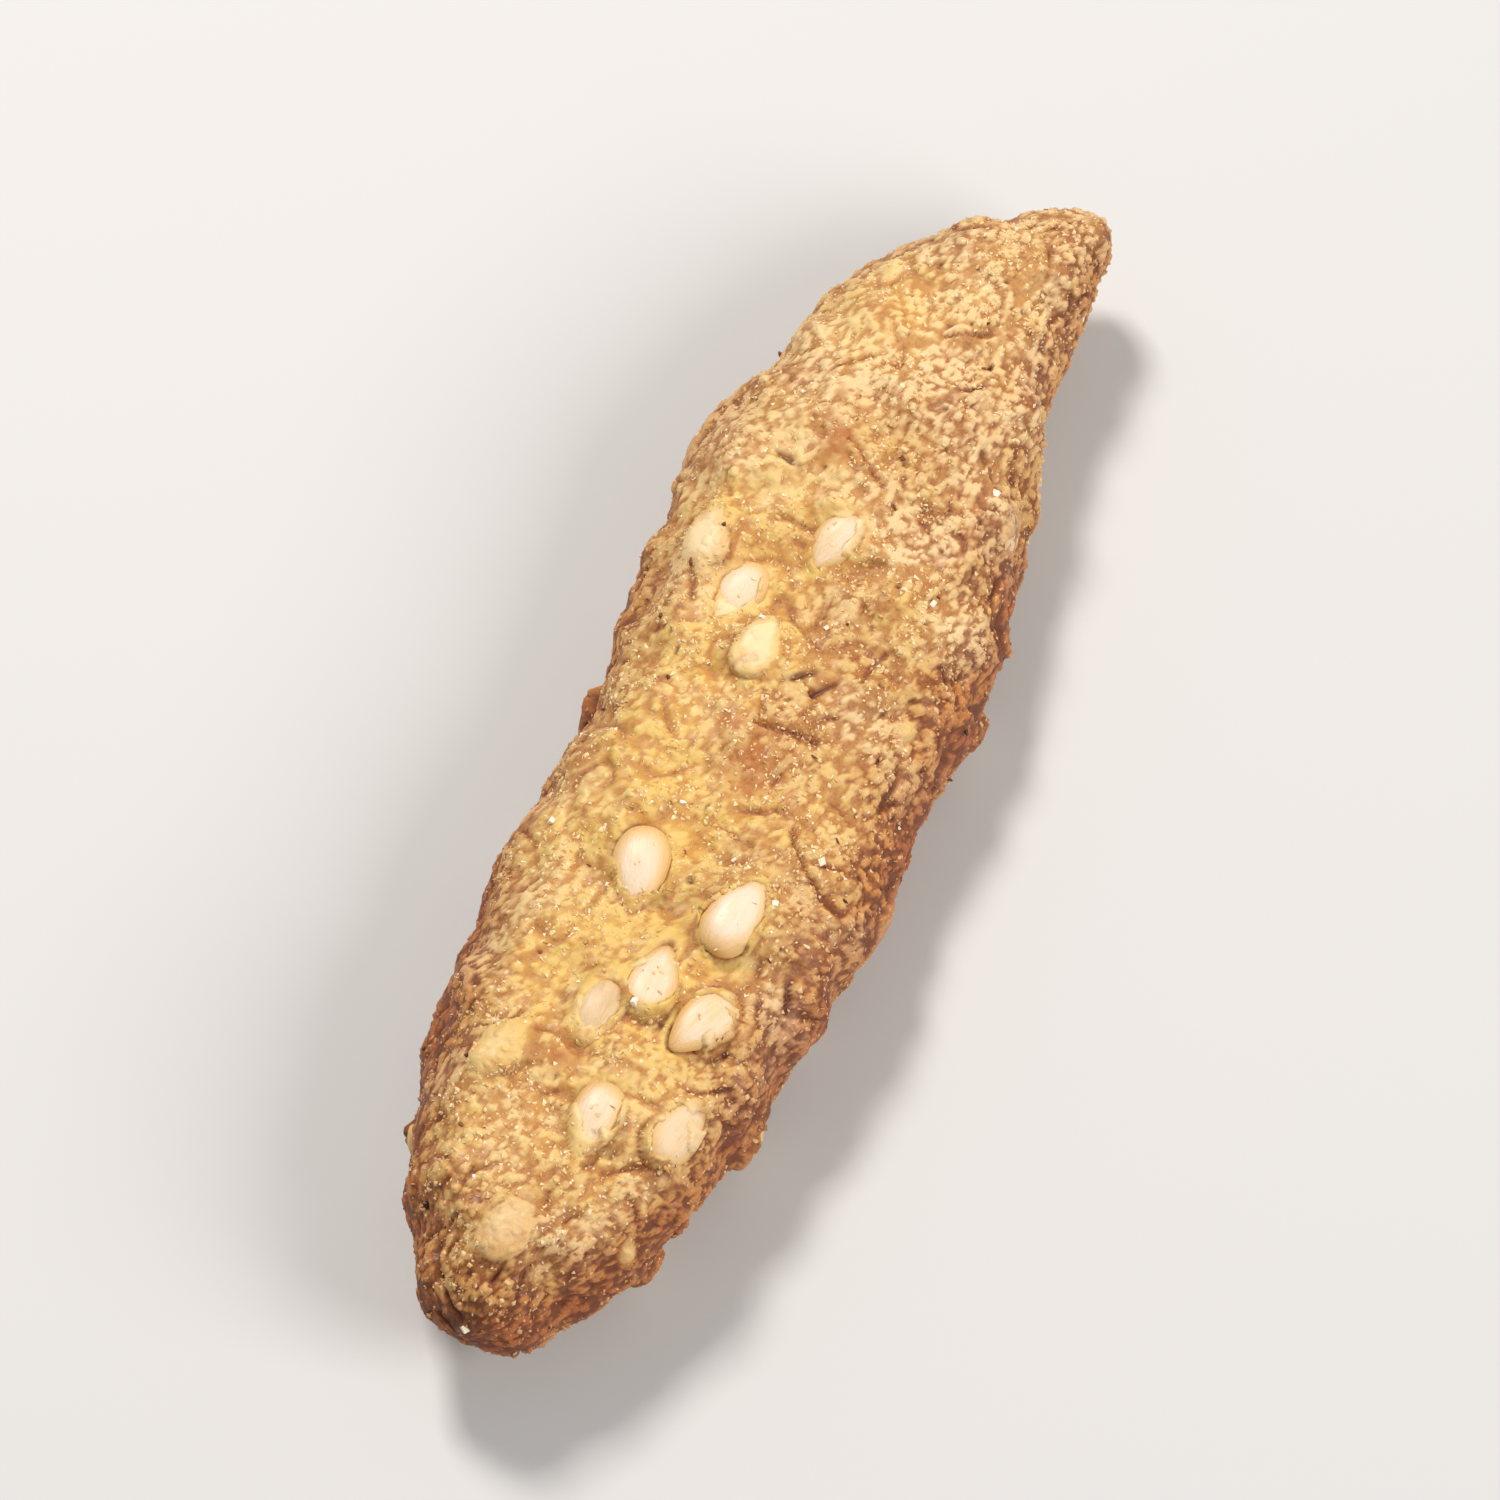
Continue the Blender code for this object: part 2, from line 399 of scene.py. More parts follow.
@dataclass(frozen=True)
class SeedBed:
    """Finds the seeds' seats by the same rule as the solid's."""

    strip: Strip
    length: float = 3.1 * MM
    width: float = 1.8 * MM
    thickness: float = 1.0 * MM
    taper: float = 0.3
    point_share: float = 0.22
    flatness: float = 0.82
    # Seeds of the shown side: x and y in mm, degrees from the long way, and the seat
    shown: tuple = (
        (-7.0, 0.6, 197.0, Seat(1.08, 0.48, 0.16, buried=0.4)),
        (-10.6, -1.8, 4.0, Seat(1.0, 0.44, 0.22, buried=-0.6)),
        (-16.2, -2.4, 182.0, Seat(0.97, 0.44, 0.26, buried=0.5)),
        (-7.2, -3.3, -8.0, Seat(1.1, 0.5, 0.1, buried=0.2)),
        (-11.2, -4.0, 158.0, Seat(1.0, 0.47, 0.18, buried=-0.6)),
        (-15.0, -5.0, -11.0, Seat(1.0, 0.4, 0.34, dull=0.3)),
        (-12.5, -0.6, 184.0, Seat(0.95, 0.32, 0.44, buried=0.3, dull=1.0)),
        (2.6, 0.9, 2.0, Seat(0.9, 0.28, 0.9, glow=0.85)),
        (4.3, 2.6, 171.0, Seat(0.92, 0.28, 0.4, glow=0.95)),
        (5.7, 4.5, 4.0, Seat(0.9, 0.28, 0.9, glow=0.9)),
        (7.5, 0.4, 168.0, Seat(0.9, 0.28, 0.3, glow=0.95)),
        (-15.3, 1.6, -16.0, Seat(0.92, 0.25, 0.95, glow=0.15, dull=0.5)),
        (-20.9, -1.6, -8.0, Seat(1.0, 0.25, 0.95, glow=0.35, dull=0.5)),
    )
    others: int = 20
    spacing: float = 4.6 * MM
    tries: int = 4000
    draw: int = 11
    other_out: tuple = (0.28, 0.46)
    other_size: tuple = (0.88, 1.06)
    other_turn: float = 55.0
    other_buried: tuple = (-0.5, 0.5)
    other_glow: float = 0.15
    other_dull: tuple = (0.0, 0.6)
    side_veil: float = 0.75
    underside_veil: float = 0.3
    shown_side_from: float = 0.35
    underside_from: float = -0.35
    end_clearance: float = 5.5 * MM
    floor_clearance: float = 0.08 * MM

    def seed_taper(self, along: np.ndarray | float) -> np.ndarray | float:
        """Width of a seed against an even oval's, from its round end, -1, to its point, 1."""
        return (1.0 - self.taper * along) * (1.0 - self.point_share * np.maximum(along, 0.0) ** 2)

    def seed_radius(self, local: np.ndarray, size: float) -> tuple[np.ndarray, np.ndarray, np.ndarray]:
        """Where points lie in a seed's own plan.

        Args:
            local: Points in the seed's own axes.
            size: The seed's size.

        Returns:
            How far along and across the seed each is, and its reach, with 1 at the outline.
        """
        along = local[:, 0] / (self.length / 2 * size)
        across = local[:, 1] / (self.width / 2 * size * self.seed_taper(np.clip(along, -1.0, 1.0)))
        return along, across, np.hypot(along, across)

    def seed_top(self, along: np.ndarray, across: np.ndarray, size: float) -> np.ndarray:
        """Height of a seed's upper face above its middle plane.

        Args:
            along: How far along the seed each point is.
            across: How far across it.
            size: The seed's size.

        Returns:
            The height at each point.
        """
        girth = np.sqrt(np.clip(1.0 - along**2, 1e-6, 1.0))
        fall = np.clip(1.0 - (across / girth) ** 2, 0.0, 1.0) ** (self.flatness / 2)
        return self.thickness / 2 * size * girth * self.seed_taper(np.clip(along, -1.0, 1.0)) * fall

    def place(self, point: Vector, normal: Vector, turn: float, out: float) -> Matrix:
        """Place of a seed on the crust.

        Args:
            point: Where it sits.
            normal: The crust's normal there.
            turn: Its turn about the normal from the stick's length, in degrees.
            out: The share of its thickness that stands out.

        Returns:
            The matrix that carries a seed there.
        """
        along = (Vector((1.0, 0.0, 0.0)) - normal * normal.x).normalized()
        axes = Matrix((along, normal.cross(along), normal)).transposed().to_4x4()
        depth = (0.5 - out) * self.thickness
        return Matrix.Translation(point - normal * depth) @ axes @ Matrix.Rotation(math.radians(turn), 4, "Z")

    def lowest_of(self, place: Matrix, size: float) -> float:
        """Lowest height that a seed reaches at its place."""
        reaches = zip((self.length, self.width, self.thickness), place[2])
        return place.translation.z - math.hypot(*(size / 2 * reach * up for reach, up in reaches))

    def seats(self, crust: BVHTree) -> list[Seat]:
        """Find every seat.

        Args:
            crust: The solid's crust before the seeds are set in.

        Returns:
            The seats of the shown side, then those of the edges and the underside.
        """
        found = []
        for x, y, turn, seat in self.shown:
            above = Vector((x * MM, y * MM, self.strip.length))
            point, normal, _, _ = crust.ray_cast(above, Vector((0.0, 0.0, -1.0)))
            found.append(replace(seat, place=self.place(point, normal, turn, seat.out)))
        return found + self.other_seats(crust, [seat.place.translation for seat in found])

    def other_seats(self, crust: BVHTree, places: list[Vector]) -> list[Seat]:
        """Draw the seats of the edges and the underside, clear of those already taken.

        Args:
            crust: The solid's crust before the seeds are set in.
            places: Where seeds already lie.

        Returns:
            The seats found.
        """
        draw, looks = random.Random(self.draw), random.Random(self.draw)
        strip = self.strip
        curves = strip.curves()
        clear_angle = strip.sweep_angle(-strip.length / 2 + self.end_clearance)
        seats = []
        for _ in range(self.tries):
            angle = draw.uniform(clear_angle, math.pi - clear_angle)
            guide = strip.ring(curves, angle, [draw.random()])[0]
            turn = draw.uniform(-self.other_turn, self.other_turn) + draw.choice((0, 180))
            size, out = draw.uniform(*self.other_size), draw.uniform(*self.other_out)
            point, normal, _, _ = crust.find_nearest(guide)
            place = self.place(point, normal, turn, out)
            if normal.z > self.shown_side_from or self.lowest_of(place, size) < self.floor_clearance:
                continue
            if any((point - taken).length < self.spacing for taken in places):
                continue
            places.append(point)
            veil = self.side_veil if normal.z > self.underside_from else self.underside_veil
            buried, dull = looks.uniform(*self.other_buried), looks.uniform(*self.other_dull)
            seats.append(Seat(size, out, veil, buried, self.other_glow, dull, place))
            if len(seats) == self.others:
                break
        return seats


@dataclass(frozen=True)
class ToastedDough:
    """Wheat dough fried crisp: an open crumb under a thin film of frying oil.

    The eye sees pale gold where the dough puffed and red-brown where it touched the
    pan. Crumb tops are painted paler, partly their own cream and partly painted
    highlight. The gaps between them are painted darker, partly browner dough and
    partly painted shade.
    """

    name: str = "toasted_wheat_dough_fried"
    # Each row runs from puffed and pale to browned
    body: tuple = ("#debb6c", "#d5b275", "#cd9f60", "#bb7b41", "#a25c32")
    # Gap colours, darker than the body: partly browner dough, partly painted shade in the crumb's gaps
    gap: tuple = ("#c69248", "#be8a4e", "#aa7441", "#8c522d", "#703c20")
    # Crumb top colours, paler than the body: partly the crumb's own cream, partly painted highlight
    crumb_top: tuple = ("#eace8a", "#e9cc96", "#e7c393", "#dca976", "#c88a54")
    skin_over_seed: str = "#f1d8ae"
    dust: str = "#edd2a8"
    stain: str = "#b06a36"
    # Near-black painted into pores and slits: painted shade
    pore: str = "#4a2210"
    # How much browner the deepest gaps are painted: painted shade
    gap_shade_shift: float = 0.12
    haze: float = 0.08
    # Heights of the crumb that make a gap and a top, and the reach of a cell's own top
    gap_range: tuple = (0.0, 0.24)
    top_range: tuple = (0.24, 0.62)
    cell_range: tuple = (0.12, 0.52)
    # Paler wash over every raised top: partly painted highlight
    top_wash: float = 0.25
    # Size, detail, roughness and share in the browning
    mottle: tuple = (1.1 * MM, 5.0, 0.62, 0.18)
    grit: tuple = (0.1 * MM, 3.0, 0.6, 0.13)
    pattern_range: tuple = (0.3, 0.7)
    crumb_size: float = 0.4 * MM
    bump: float = 0.8
    crumb_bump: float = 0.05 * MM
    grit_bump: float = 0.022 * MM
    roughness: tuple = (0.45, 0.75)
    specular: float = 0.3
    oil_film: float = 0.1
    oil_roughness: float = 0.24
    oil_ior: float = 1.47
    glow: float = 0.18
    glow_reach: tuple = (0.28 * MM, 0.23 * MM, 0.19 * MM)

    def material(self) -> Material:
        """Build the crust's material from its attributes and patterns.

        Returns:
            The material.
        """
        made, shader, (toast_and_shade, crumb, top_paleness_and_highlight, dust, film, stain, pore) = start_material(
            self.name, "toast_and_shade", "crumb", "top_paleness_and_highlight", "dust", "film", "stain", "pore"
        )
        tree = made.node_tree
        place = add_node(tree, "ShaderNodeTexCoord").outputs["Object"]
        browning_and_shade = toast_and_shade
        for size, detail, harshness, share in (self.mottle, self.grit):
            pattern = add_node(tree, "ShaderNodeTexNoise", {
                "Vector": place, "Scale": 1.0 / size, "Detail": detail, "Roughness": harshness,
            })
            shift = add_node(tree, "ShaderNodeMapRange", (
                pattern, *self.pattern_range, -share, share,
            ), clamp=False)
            browning_and_shade = add_node(tree, "ShaderNodeMath", (browning_and_shade, shift), operation="ADD")
        grit = pattern
        # The crumb's gaps take the darker gap colour: partly browner dough, partly painted shade
        sunk = add_node(tree, "ShaderNodeMapRange", (crumb, *self.gap_range, 1.0, 0.0))
        deep = add_node(tree, "ShaderNodeMath", (sunk, self.gap_shade_shift, browning_and_shade), operation="MULTIPLY_ADD")
        ramps = []
        for colours, share in ((self.body, browning_and_shade), (self.gap, deep), (self.crumb_top, browning_and_shade)):
            ramp = add_node(tree, "ShaderNodeValToRGB", (share,))
            stops = ramp.color_ramp.elements
            for _ in colours[2:]:
                stops.new(0.5)
            for index, colour in enumerate(colours):
                stops[index].position = index / (len(colours) - 1)
                stops[index].color = linear(colour)
            ramps.append(ramp)
        body, gap, crumb_top = ramps

        cells = add_node(tree, "ShaderNodeTexVoronoi", {"Vector": place, "Scale": 1.0 / self.crumb_size})
        picked = add_node(tree, "ShaderNodeSeparateColor", (cells.outputs["Color"],))
        tops = add_node(tree, "ShaderNodeMapRange", (
            cells, *self.cell_range, 1.0, 0.0,
        ), interpolation_type="SMOOTHSTEP")
        raised = add_node(tree, "ShaderNodeMapRange", (crumb, *self.top_range))
        fine = add_node(tree, "ShaderNodeMath", (tops, picked), operation="MULTIPLY")
        wash = add_node(tree, "ShaderNodeMath", (raised, self.top_wash), operation="MULTIPLY")
        creamy = add_node(tree, "ShaderNodeMath", (
            raised, fine, wash,
        ), operation="MULTIPLY_ADD", use_clamp=True)
        # Raised crumb tops painted paler, less on the sides and the blunt end: partly the crumb's own cream,
        # partly painted highlight
        lit = add_node(tree, "ShaderNodeMath", (creamy, top_paleness_and_highlight), operation="MULTIPLY")
        haze = add_node(tree, "ShaderNodeMath", (dust, self.haze), operation="MULTIPLY")
        coarse = add_node(tree, "ShaderNodeBump", {
            "Strength": self.bump, "Distance": self.crumb_bump, "Height": tops,
        })
        # The pore layer paints pores and slits near-black as painted shade
        dress(shader, body, (
            (dust, self.dust), (sunk, gap), (haze, self.dust), (film, self.skin_over_seed),
            (lit, crumb_top), (stain, self.stain), (pore, self.pore),
        ), {
            "Roughness": add_node(tree, "ShaderNodeMapRange", (grit, *self.pattern_range, *self.roughness)),
            "Normal": add_node(tree, "ShaderNodeBump", {
                "Strength": self.bump, "Distance": self.grit_bump, "Height": grit, "Normal": coarse,
            }),
            "Specular IOR Level": self.specular,
            "Coat Weight": self.oil_film, "Coat Roughness": self.oil_roughness, "Coat IOR": self.oil_ior,
            "Subsurface Weight": self.glow, "Subsurface Radius": self.glow_reach, "Subsurface Scale": 1.0,
        })
        return made


@dataclass(frozen=True)
class HulledSesame:
    """Sesame seed, hulled and baked: a waxy cream skin over a pale, oily kernel.

    The eye sees near-white bellies, a tanner tip, faint streaks along the seed
    and a soft waxy highlight.
    """

    name: str = "hulled_sesame_seed_baked"
    belly: str = "#eddac6"
    flank: str = "#e8c99c"
    glassy: str = "#c2a87e"
    rim: str = "#e2b468"
    tip: str = "#c89a5a"
    # Patches and streaks in each half length of a seed, with their detail and roughness
    patches: float = 1.6
    streaks: float = 5.0
    skin_detail: tuple = (4.0, 0.6)
    # Noise that makes a patch tan and one clear, and a streak, with the shares they give
    tan_range: tuple = (0.4, 0.65)
    clear_range: tuple = (0.3, 0.65, 1.0, 0.25)
    streak_range: tuple = (0.5, 0.75, 0.0, 0.55)
    bump: float = 0.7
    streak_bump: float = 0.09 * MM
    pit_size: float = 0.13 * MM
    pit_bump: float = 0.016 * MM
    roughness: float = 0.5
    wax_film: float = 0.16
    wax_roughness: float = 0.3
    glow: float = 0.3
    glow_reach: tuple = (0.45 * MM, 0.38 * MM, 0.3 * MM)

    def material(self) -> Material:
        """Build the seed's material from its attributes and a fine streak.

        Returns:
            The material.
        """
        made, shader, (tip, rim, tone, dull) = start_material(self.name, "tip", "rim", "tone", "dull")
        tree = made.node_tree
        along_seed = add_node(tree, "ShaderNodeAttribute", attribute_name="along_seed").outputs["Vector"]
        detail, harshness = self.skin_detail
        clouds, streaks = (
            add_node(tree, "ShaderNodeTexNoise", {
                "Vector": along_seed, "Scale": scale, "Detail": detail, "Roughness": harshness,
            })
            for scale in (self.patches, self.streaks)
        )
        tan, clear, lines = (
            add_node(tree, "ShaderNodeMapRange", inputs) for inputs in (
                (clouds, *self.tan_range), (clouds, *self.clear_range), (streaks, *self.streak_range),
            )
        )
        patches = add_node(tree, "ShaderNodeMath", (tan, tone), operation="MULTIPLY")
        glass = add_node(tree, "ShaderNodeMath", (dull, clear), operation="MULTIPLY")
        pits = add_node(tree, "ShaderNodeTexNoise", {
            "Vector": add_node(tree, "ShaderNodeTexCoord").outputs["Object"],
            "Scale": 1.0 / self.pit_size, "Detail": 2.0,
        })
        ridged = add_node(tree, "ShaderNodeBump", {
            "Strength": self.bump, "Distance": self.streak_bump, "Height": streaks,
        })
        dress(shader, linear(self.belly), (
            (patches, self.flank), (glass, self.glassy), (lines, self.flank),
            (rim, self.rim), (tip, self.tip),
        ), {
            "Normal": add_node(tree, "ShaderNodeBump", {
                "Strength": self.bump, "Distance": self.pit_bump, "Height": pits, "Normal": ridged,
            }),
            "Roughness": self.roughness, "Coat Weight": self.wax_film, "Coat Roughness": self.wax_roughness,
            "Subsurface Weight": self.glow, "Subsurface Radius": self.glow_reach, "Subsurface Scale": 1.0,
        })
        return made


@dataclass(frozen=True)
class GrainFinish:
    """Small grains that lie on the crust, from a light and a dark colour by a drawn tone.

    Browned is what toasting turns them to; the toast_and_shade they read also holds the dough's painted shade
    in dips and round seeds, so grains there are painted browner too. The eye sees a clear grain glow from
    within.
    """

    name: str
    light: str
    dark: str
    browned: str
    roughness: float
    ior: float = 1.5
    clear: float = 0.0
    browned_by: tuple = (0.25, 1.0, 0.0, 0.8)
    glow_reach: tuple = (0.3 * MM, 0.25 * MM, 0.2 * MM)

    def material(self) -> Material:
        """Build the grains' material from their tone and the browning under them.

        Returns:
            The material.
        """
        made, shader, (tone, toast_and_shade) = start_material(self.name, "tone", "toast_and_shade")
        deep = add_node(made.node_tree, "ShaderNodeMapRange", (toast_and_shade, *self.browned_by))
        dress(shader, linear(self.light), ((tone, self.dark), (deep, self.browned)), {
            "Roughness": self.roughness, "IOR": self.ior,
            "Subsurface Weight": self.clear, "Subsurface Radius": self.glow_reach, "Subsurface Scale": 1.0,
        })
        return made


@dataclass(frozen=True)
class PaleTable:
    """A matt white-lacquered board: no grain shows, only a soft even shade."""

    name: str = "matt_white_lacquered_board"
    colour: str = "#cdced0"
    roughness: float = 0.6

    def material(self) -> Material:
        """Build the table's plain material.

        Returns:
            The material.
        """
        made, shader, _ = start_material(self.name)
        feed(shader, {"Base Color": linear(self.colour), "Roughness": self.roughness})
        return made


@dataclass
class Dough:
    """The strip's crust at a fine pitch, with its crumb, lips, blisters, pores and browning, and painted
    shade in its gaps, dips, creases, pores and slits.
    """

    strip: Strip
    bed: SeedBed
    seats: list[Seat]
    floor_height: float
    rings: int = 398
    around_top: int = 152
    around_underside: int = 96
    # Size and height of the crumb's cells, and how far each cell's top reaches
    coarse_crumb: tuple = (0.34 * MM, 0.12 * MM)
    fine_crumb: tuple = (0.24 * MM, 0.07 * MM)
    cell_reach: float = 0.66
    tearing: float = 0.34
    tearing_seed: int = 7
    # Size, depth and breadth of the long and of the short creases
    creases: tuple = ((3.4 * MM, 0.26 * MM, 0.045), (1.5 * MM, 0.15 * MM, 0.08))
    # Size of the cells that hold a blister, its height and its reach in the cell
    blister: tuple = (2.6 * MM, 0.22 * MM, 0.34)
    blister_from: float = 0.55
    # Size of the cells that hold one, and depth, of the large pores and of the pinholes
    pores: tuple = ((1.5 * MM, 0.2 * MM), (0.8 * MM, 0.1 * MM))
    pore_from: float = 0.45
    hollow_depth: float = 0.12 * MM
    hollow_window: int = 3
    nib_height: float = 0.25 * MM
    slit_depth: float = 0.22 * MM
    slit_breadth: float = 0.12
    lip_height: float = 0.1 * MM
    skin: float = 0.08 * MM
    sink: float = 0.08 * MM
    # Paler patches of the shown side: x, y and reach in mm, and how much paler
    golden: tuple = (
        (-4.5, 1.8, 4.5, 0.34), (-11.0, 0.5, 4.5, 0.26), (3.0, 2.4, 3.6, 0.28), (-9.0, -2.6, 3.6, 0.26),
        (-15.8, -2.2, 3.2, 0.16), (9.5, 2.6, 4.2, 0.18), (18.0, 3.0, 2.4, 0.16), (8.0, 5.8, 4.5, 0.22),
        (15.5, 4.8, 3.6, 0.22), (6.2, -0.4, 1.2, 0.16),
    )
    # Large cream crumbs of the shown side: x, y and reach in mm
    nibs: tuple = ((-19.2, -5.2, 0.5), (2.4, -5.0, 0.42), (18.6, 3.6, 0.7))
    # Slits of the shown side, cut in and painted near-black as painted shade: x, y and half length in mm, and
    # degrees from the long way
    slits: tuple = (
        (2.3, -1.0, 0.6, -44.0), (2.2, -1.8, 0.65, -38.0), (9.6, 3.4, 0.5, 70.0), (-8.6, -6.0, 0.6, 25.0),
    )
    # Orange stains of the shown side: x, y and reach in mm
    stains: tuple = (
        (-1.8, -1.1, 1.2), (-0.5, 0.4, 0.6), (-14.7, -0.5, 0.55), (10.9, 2.0, 0.8), (2.6, -1.8, 0.5),
    )

    def crumb(self, point: Vector) -> tuple[float, float]:
        """Crumb of the crust at a point.

        Args:
            point: Place on the smooth strip.

        Returns:
            How high the crumb stands in metres, and how far up it the point is, about 0 in
            a gap and 1 on a top.
        """
        size, high = self.coarse_crumb
        torn = point / size + self.tearing * noise.noise_vector(point / (0.55 * size))
        away, lot = cell_at(torn, 23.9)
        coarse = max(0.0, 1.0 - (away / self.cell_reach) ** 2) * (0.35 + 0.65 * lot)
        fine_size, fine_high = self.fine_crumb
        away, lot = cell_at(point / fine_size, 41.3)
        fine = max(0.0, 1.0 - (away / self.cell_reach) ** 2) * (0.3 + 0.7 * lot)
        return coarse * high + fine * fine_high, 0.62 * coarse + 0.38 * fine

    def blemishes(self, point: Vector) -> tuple[float, float, float]:
        """Blisters, pores and creases at a point.

        Args:
            point: Place on the smooth strip.

        Returns:
            The height that they add, and how deep in a pore and in a crease the point
            is, each from 0 to 1.
        """
        size, high, reach = self.blister
        away, lot = cell_at(point / size, 31.7)
        swell = high * max(0.0, 1.0 - (away / reach) ** 2) if lot > self.blister_from else 0.0
        valley, fold = 0.0, 0.0
        for size, deep, broad in self.creases:
            line = noise.noise(point / size + Vector((4.0, 1.0, 8.0)))
            patch = noise.noise(point / (0.9 * size) + Vector((6.0, 2.0, 3.0)))
            crease = float(smoothstep(0.06, 0.3, patch)) * math.exp(-(line / broad) ** 2)
            valley = max(valley, crease)
            fold += deep * crease
        hole = 0.0
        (large_size, large_deep), _ = self.pores
        for size, deep in self.pores:
            away, lot = cell_at(point / size + Vector((7.1, 3.3, 5.7)), 17.3)
            reach = 0.07 * (large_size / size) ** 0.9 + 0.16 * (lot - self.pore_from)
            if lot > self.pore_from:
                opened = 1.0 - float(smoothstep(0.5, 1.0, away / reach))
                hole = max(hole, opened * (0.35 + 0.65 * min(1.0, deep / large_deep)))
                fold += deep * opened
        return swell - fold, hole, valley

    def seed_touch(self, points: np.ndarray, normals: np.ndarray) -> dict[str, np.ndarray]:
        """How the seeds shape the dough round them.

        Args:
            points: The crust's points.
            normals: Its normals.

        Returns:
            For each point, rise is the height added, calm the share of crumb left, film how
            much a seed shows through a skin of dough, halo how golden the dough is round a
            seed, bare the share of grains left, painted_cavity_shade how deep it lies in the
            open gap round a seed, where painted shade browns the dough, and veiled how far a
            skin covers a seed there.
        """
        touch = {name: np.zeros(len(points)) for name in ("rise", "film", "halo", "painted_cavity_shade", "veiled")}
        touch |= {name: np.ones(len(points)) for name in ("calm", "bare")}
        for number, seat in enumerate(self.seats):
            inverse = np.array(seat.place.inverted())
            local = points @ inverse[:3, :3].T + inverse[:3, 3]
            along, across, radius = self.bed.seed_radius(local, seat.size)
            facing = normals @ np.array(seat.place.to_3x3().col[2]) > 0.2
            close = np.flatnonzero(facing & (np.abs(local[:, 2]) < 1.2 * MM) & (radius < 2.2))
            if not len(close):
                continue
            along, across, near, height = along[close], across[close], radius[close], local[close, 2]
            swirl = np.array([
                noise.noise(Vector((1.6 * one, 1.6 * two, 5.3 * number))) for one, two in zip(along, across)
            ])
            patch = drift(points[close], 0.8 * MM, (9.0, number, 0.0))
            outline = math.sqrt(max(0.05, 1.0 - (1.0 - 2.0 * seat.out) ** 2))
            dip = 0.6 * seat.buried * np.clip(along, -1.0, 1.0)
            bare_to = (0.87 - 0.3 * seat.veil + 0.34 * swirl - dip) * outline
            lip = smoothstep(bare_to - 0.05, bare_to + 0.05, near)
            skin = smoothstep(0.36, 0.5, seat.veil + 0.6 * patch)
            covered = np.maximum(lip, skin)
            inside = 1.0 - smoothstep(outline - 0.06, outline + 0.06, near)
            thick = self.skin * (1.0 + 0.8 * patch + 0.9 * smoothstep(0.7, 1.0, near) + (seat.veil > 0.9))
            top = self.bed.seed_top(along, across, seat.size)
            over = (top - height + thick) * covered - self.sink * (1.0 - covered)
            rim = np.exp(-((near - outline - 0.16) / 0.2) ** 2) * (0.6 + 0.8 * patch) * self.lip_height
            skirt = np.exp(-((near - outline) / 0.32) ** 2) * seat.veil * thick
            halo = np.exp(-((near - outline - 0.05) / 0.35) ** 2) * (1.0 - 0.6 * seat.veil)
            touch["rise"][close] += np.maximum(rim, skirt) * (1.0 - inside) + over * inside
            touch["calm"][close] *= 1.0 - (0.35 + 0.22 * skin + 0.5 * (1.0 - covered)) * inside
            touch["calm"][close] *= 1.0 - 0.45 * halo * (1.0 - inside)
            touch["bare"][close] *= smoothstep(bare_to + 0.1, bare_to + 0.35, near)
            for name, share in (
                ("veiled", inside * skin),
                ("film", inside * skin * (1.0 - 0.6 * lip) * seat.glow),
                ("halo", halo),
                # The open gap round each seed's outline, later painted browner as painted shade
                ("painted_cavity_shade", (1.0 - covered) * np.exp(-((near - outline) / 0.14) ** 2)),
            ):
                touch[name][close] = np.maximum(touch[name][close], share)
        return touch

    def puffed(self, points: np.ndarray, smooth_normals: np.ndarray) -> np.ndarray:
        """How puffed and pale the dough of the shown side is.

        Args:
            points: The crust's points.
            smooth_normals: The normals of the smooth strip there.

        Returns:
            From 0 up to about 0.5 for each point.
        """
        x, y, _ = (points / MM).T
        pale = np.zeros(len(points))
        for place_x, place_y, reach, share in self.golden:
            distance = np.hypot(x - place_x, y - place_y) / reach
            pale += share * np.exp(-distance**2 * 1.6)
        return pale * smoothstep(0.0, 0.6, smooth_normals[:, 2])

    def browning_and_shade(self, points: np.ndarray, smooth_normals: np.ndarray, touch: dict) -> np.ndarray:
        """How far each place is browned, with painted shade in the open gap round each seed.

        Args:
            points: The crust's points.
            smooth_normals: The normals of the smooth strip there.
            touch: What seed_touch gives.

        Returns:
            From 0, pale gold, to 1, dark brown, for each point.
        """
        x, y, _ = (points / MM).T
        at, far, near = self.strip.outline()
        middle = (np.interp(x, at, far) + np.interp(x, at, near)) / 2
        half = (np.interp(x, at, far) - np.interp(x, at, near)) / 2
        edge = smoothstep(0.5, 1.0, np.abs(y - middle) / np.maximum(half, 1.0))
        upright = 1.0 - smoothstep(0.1, 0.85, np.abs(smooth_normals[:, 2]))
        blunt_end = smoothstep(-17.5, -24.0, x)
        near_side = smoothstep(0.0, -7.0, y) * smoothstep(16.0, 8.0, x)
        far_side = smoothstep(1.0, 5.0, y) * smoothstep(-6.0, -12.0, x)
        pointed = smoothstep(4.0, 12.0, x)
        shown = smoothstep(0.0, 0.7, smooth_normals[:, 2])
        toast_and_shade = 0.27 + 0.2 * edge + (0.28 - 0.16 * pointed) * upright
        toast_and_shade += 0.26 * blunt_end + (0.04 + 0.14 * edge) * near_side + 0.34 * far_side
        patches = 0.28 * drift(points, 4.0 * MM, (3.0, 9.0, 1.0))
        toast_and_shade += patches - self.puffed(points, smooth_normals) - (0.03 + 0.08 * shown) * touch["halo"]
        # The gap round each seed is browned at least this far: painted shade
        return np.clip(np.maximum(toast_and_shade, 0.45 * touch["painted_cavity_shade"]), 0.0, 1.0)

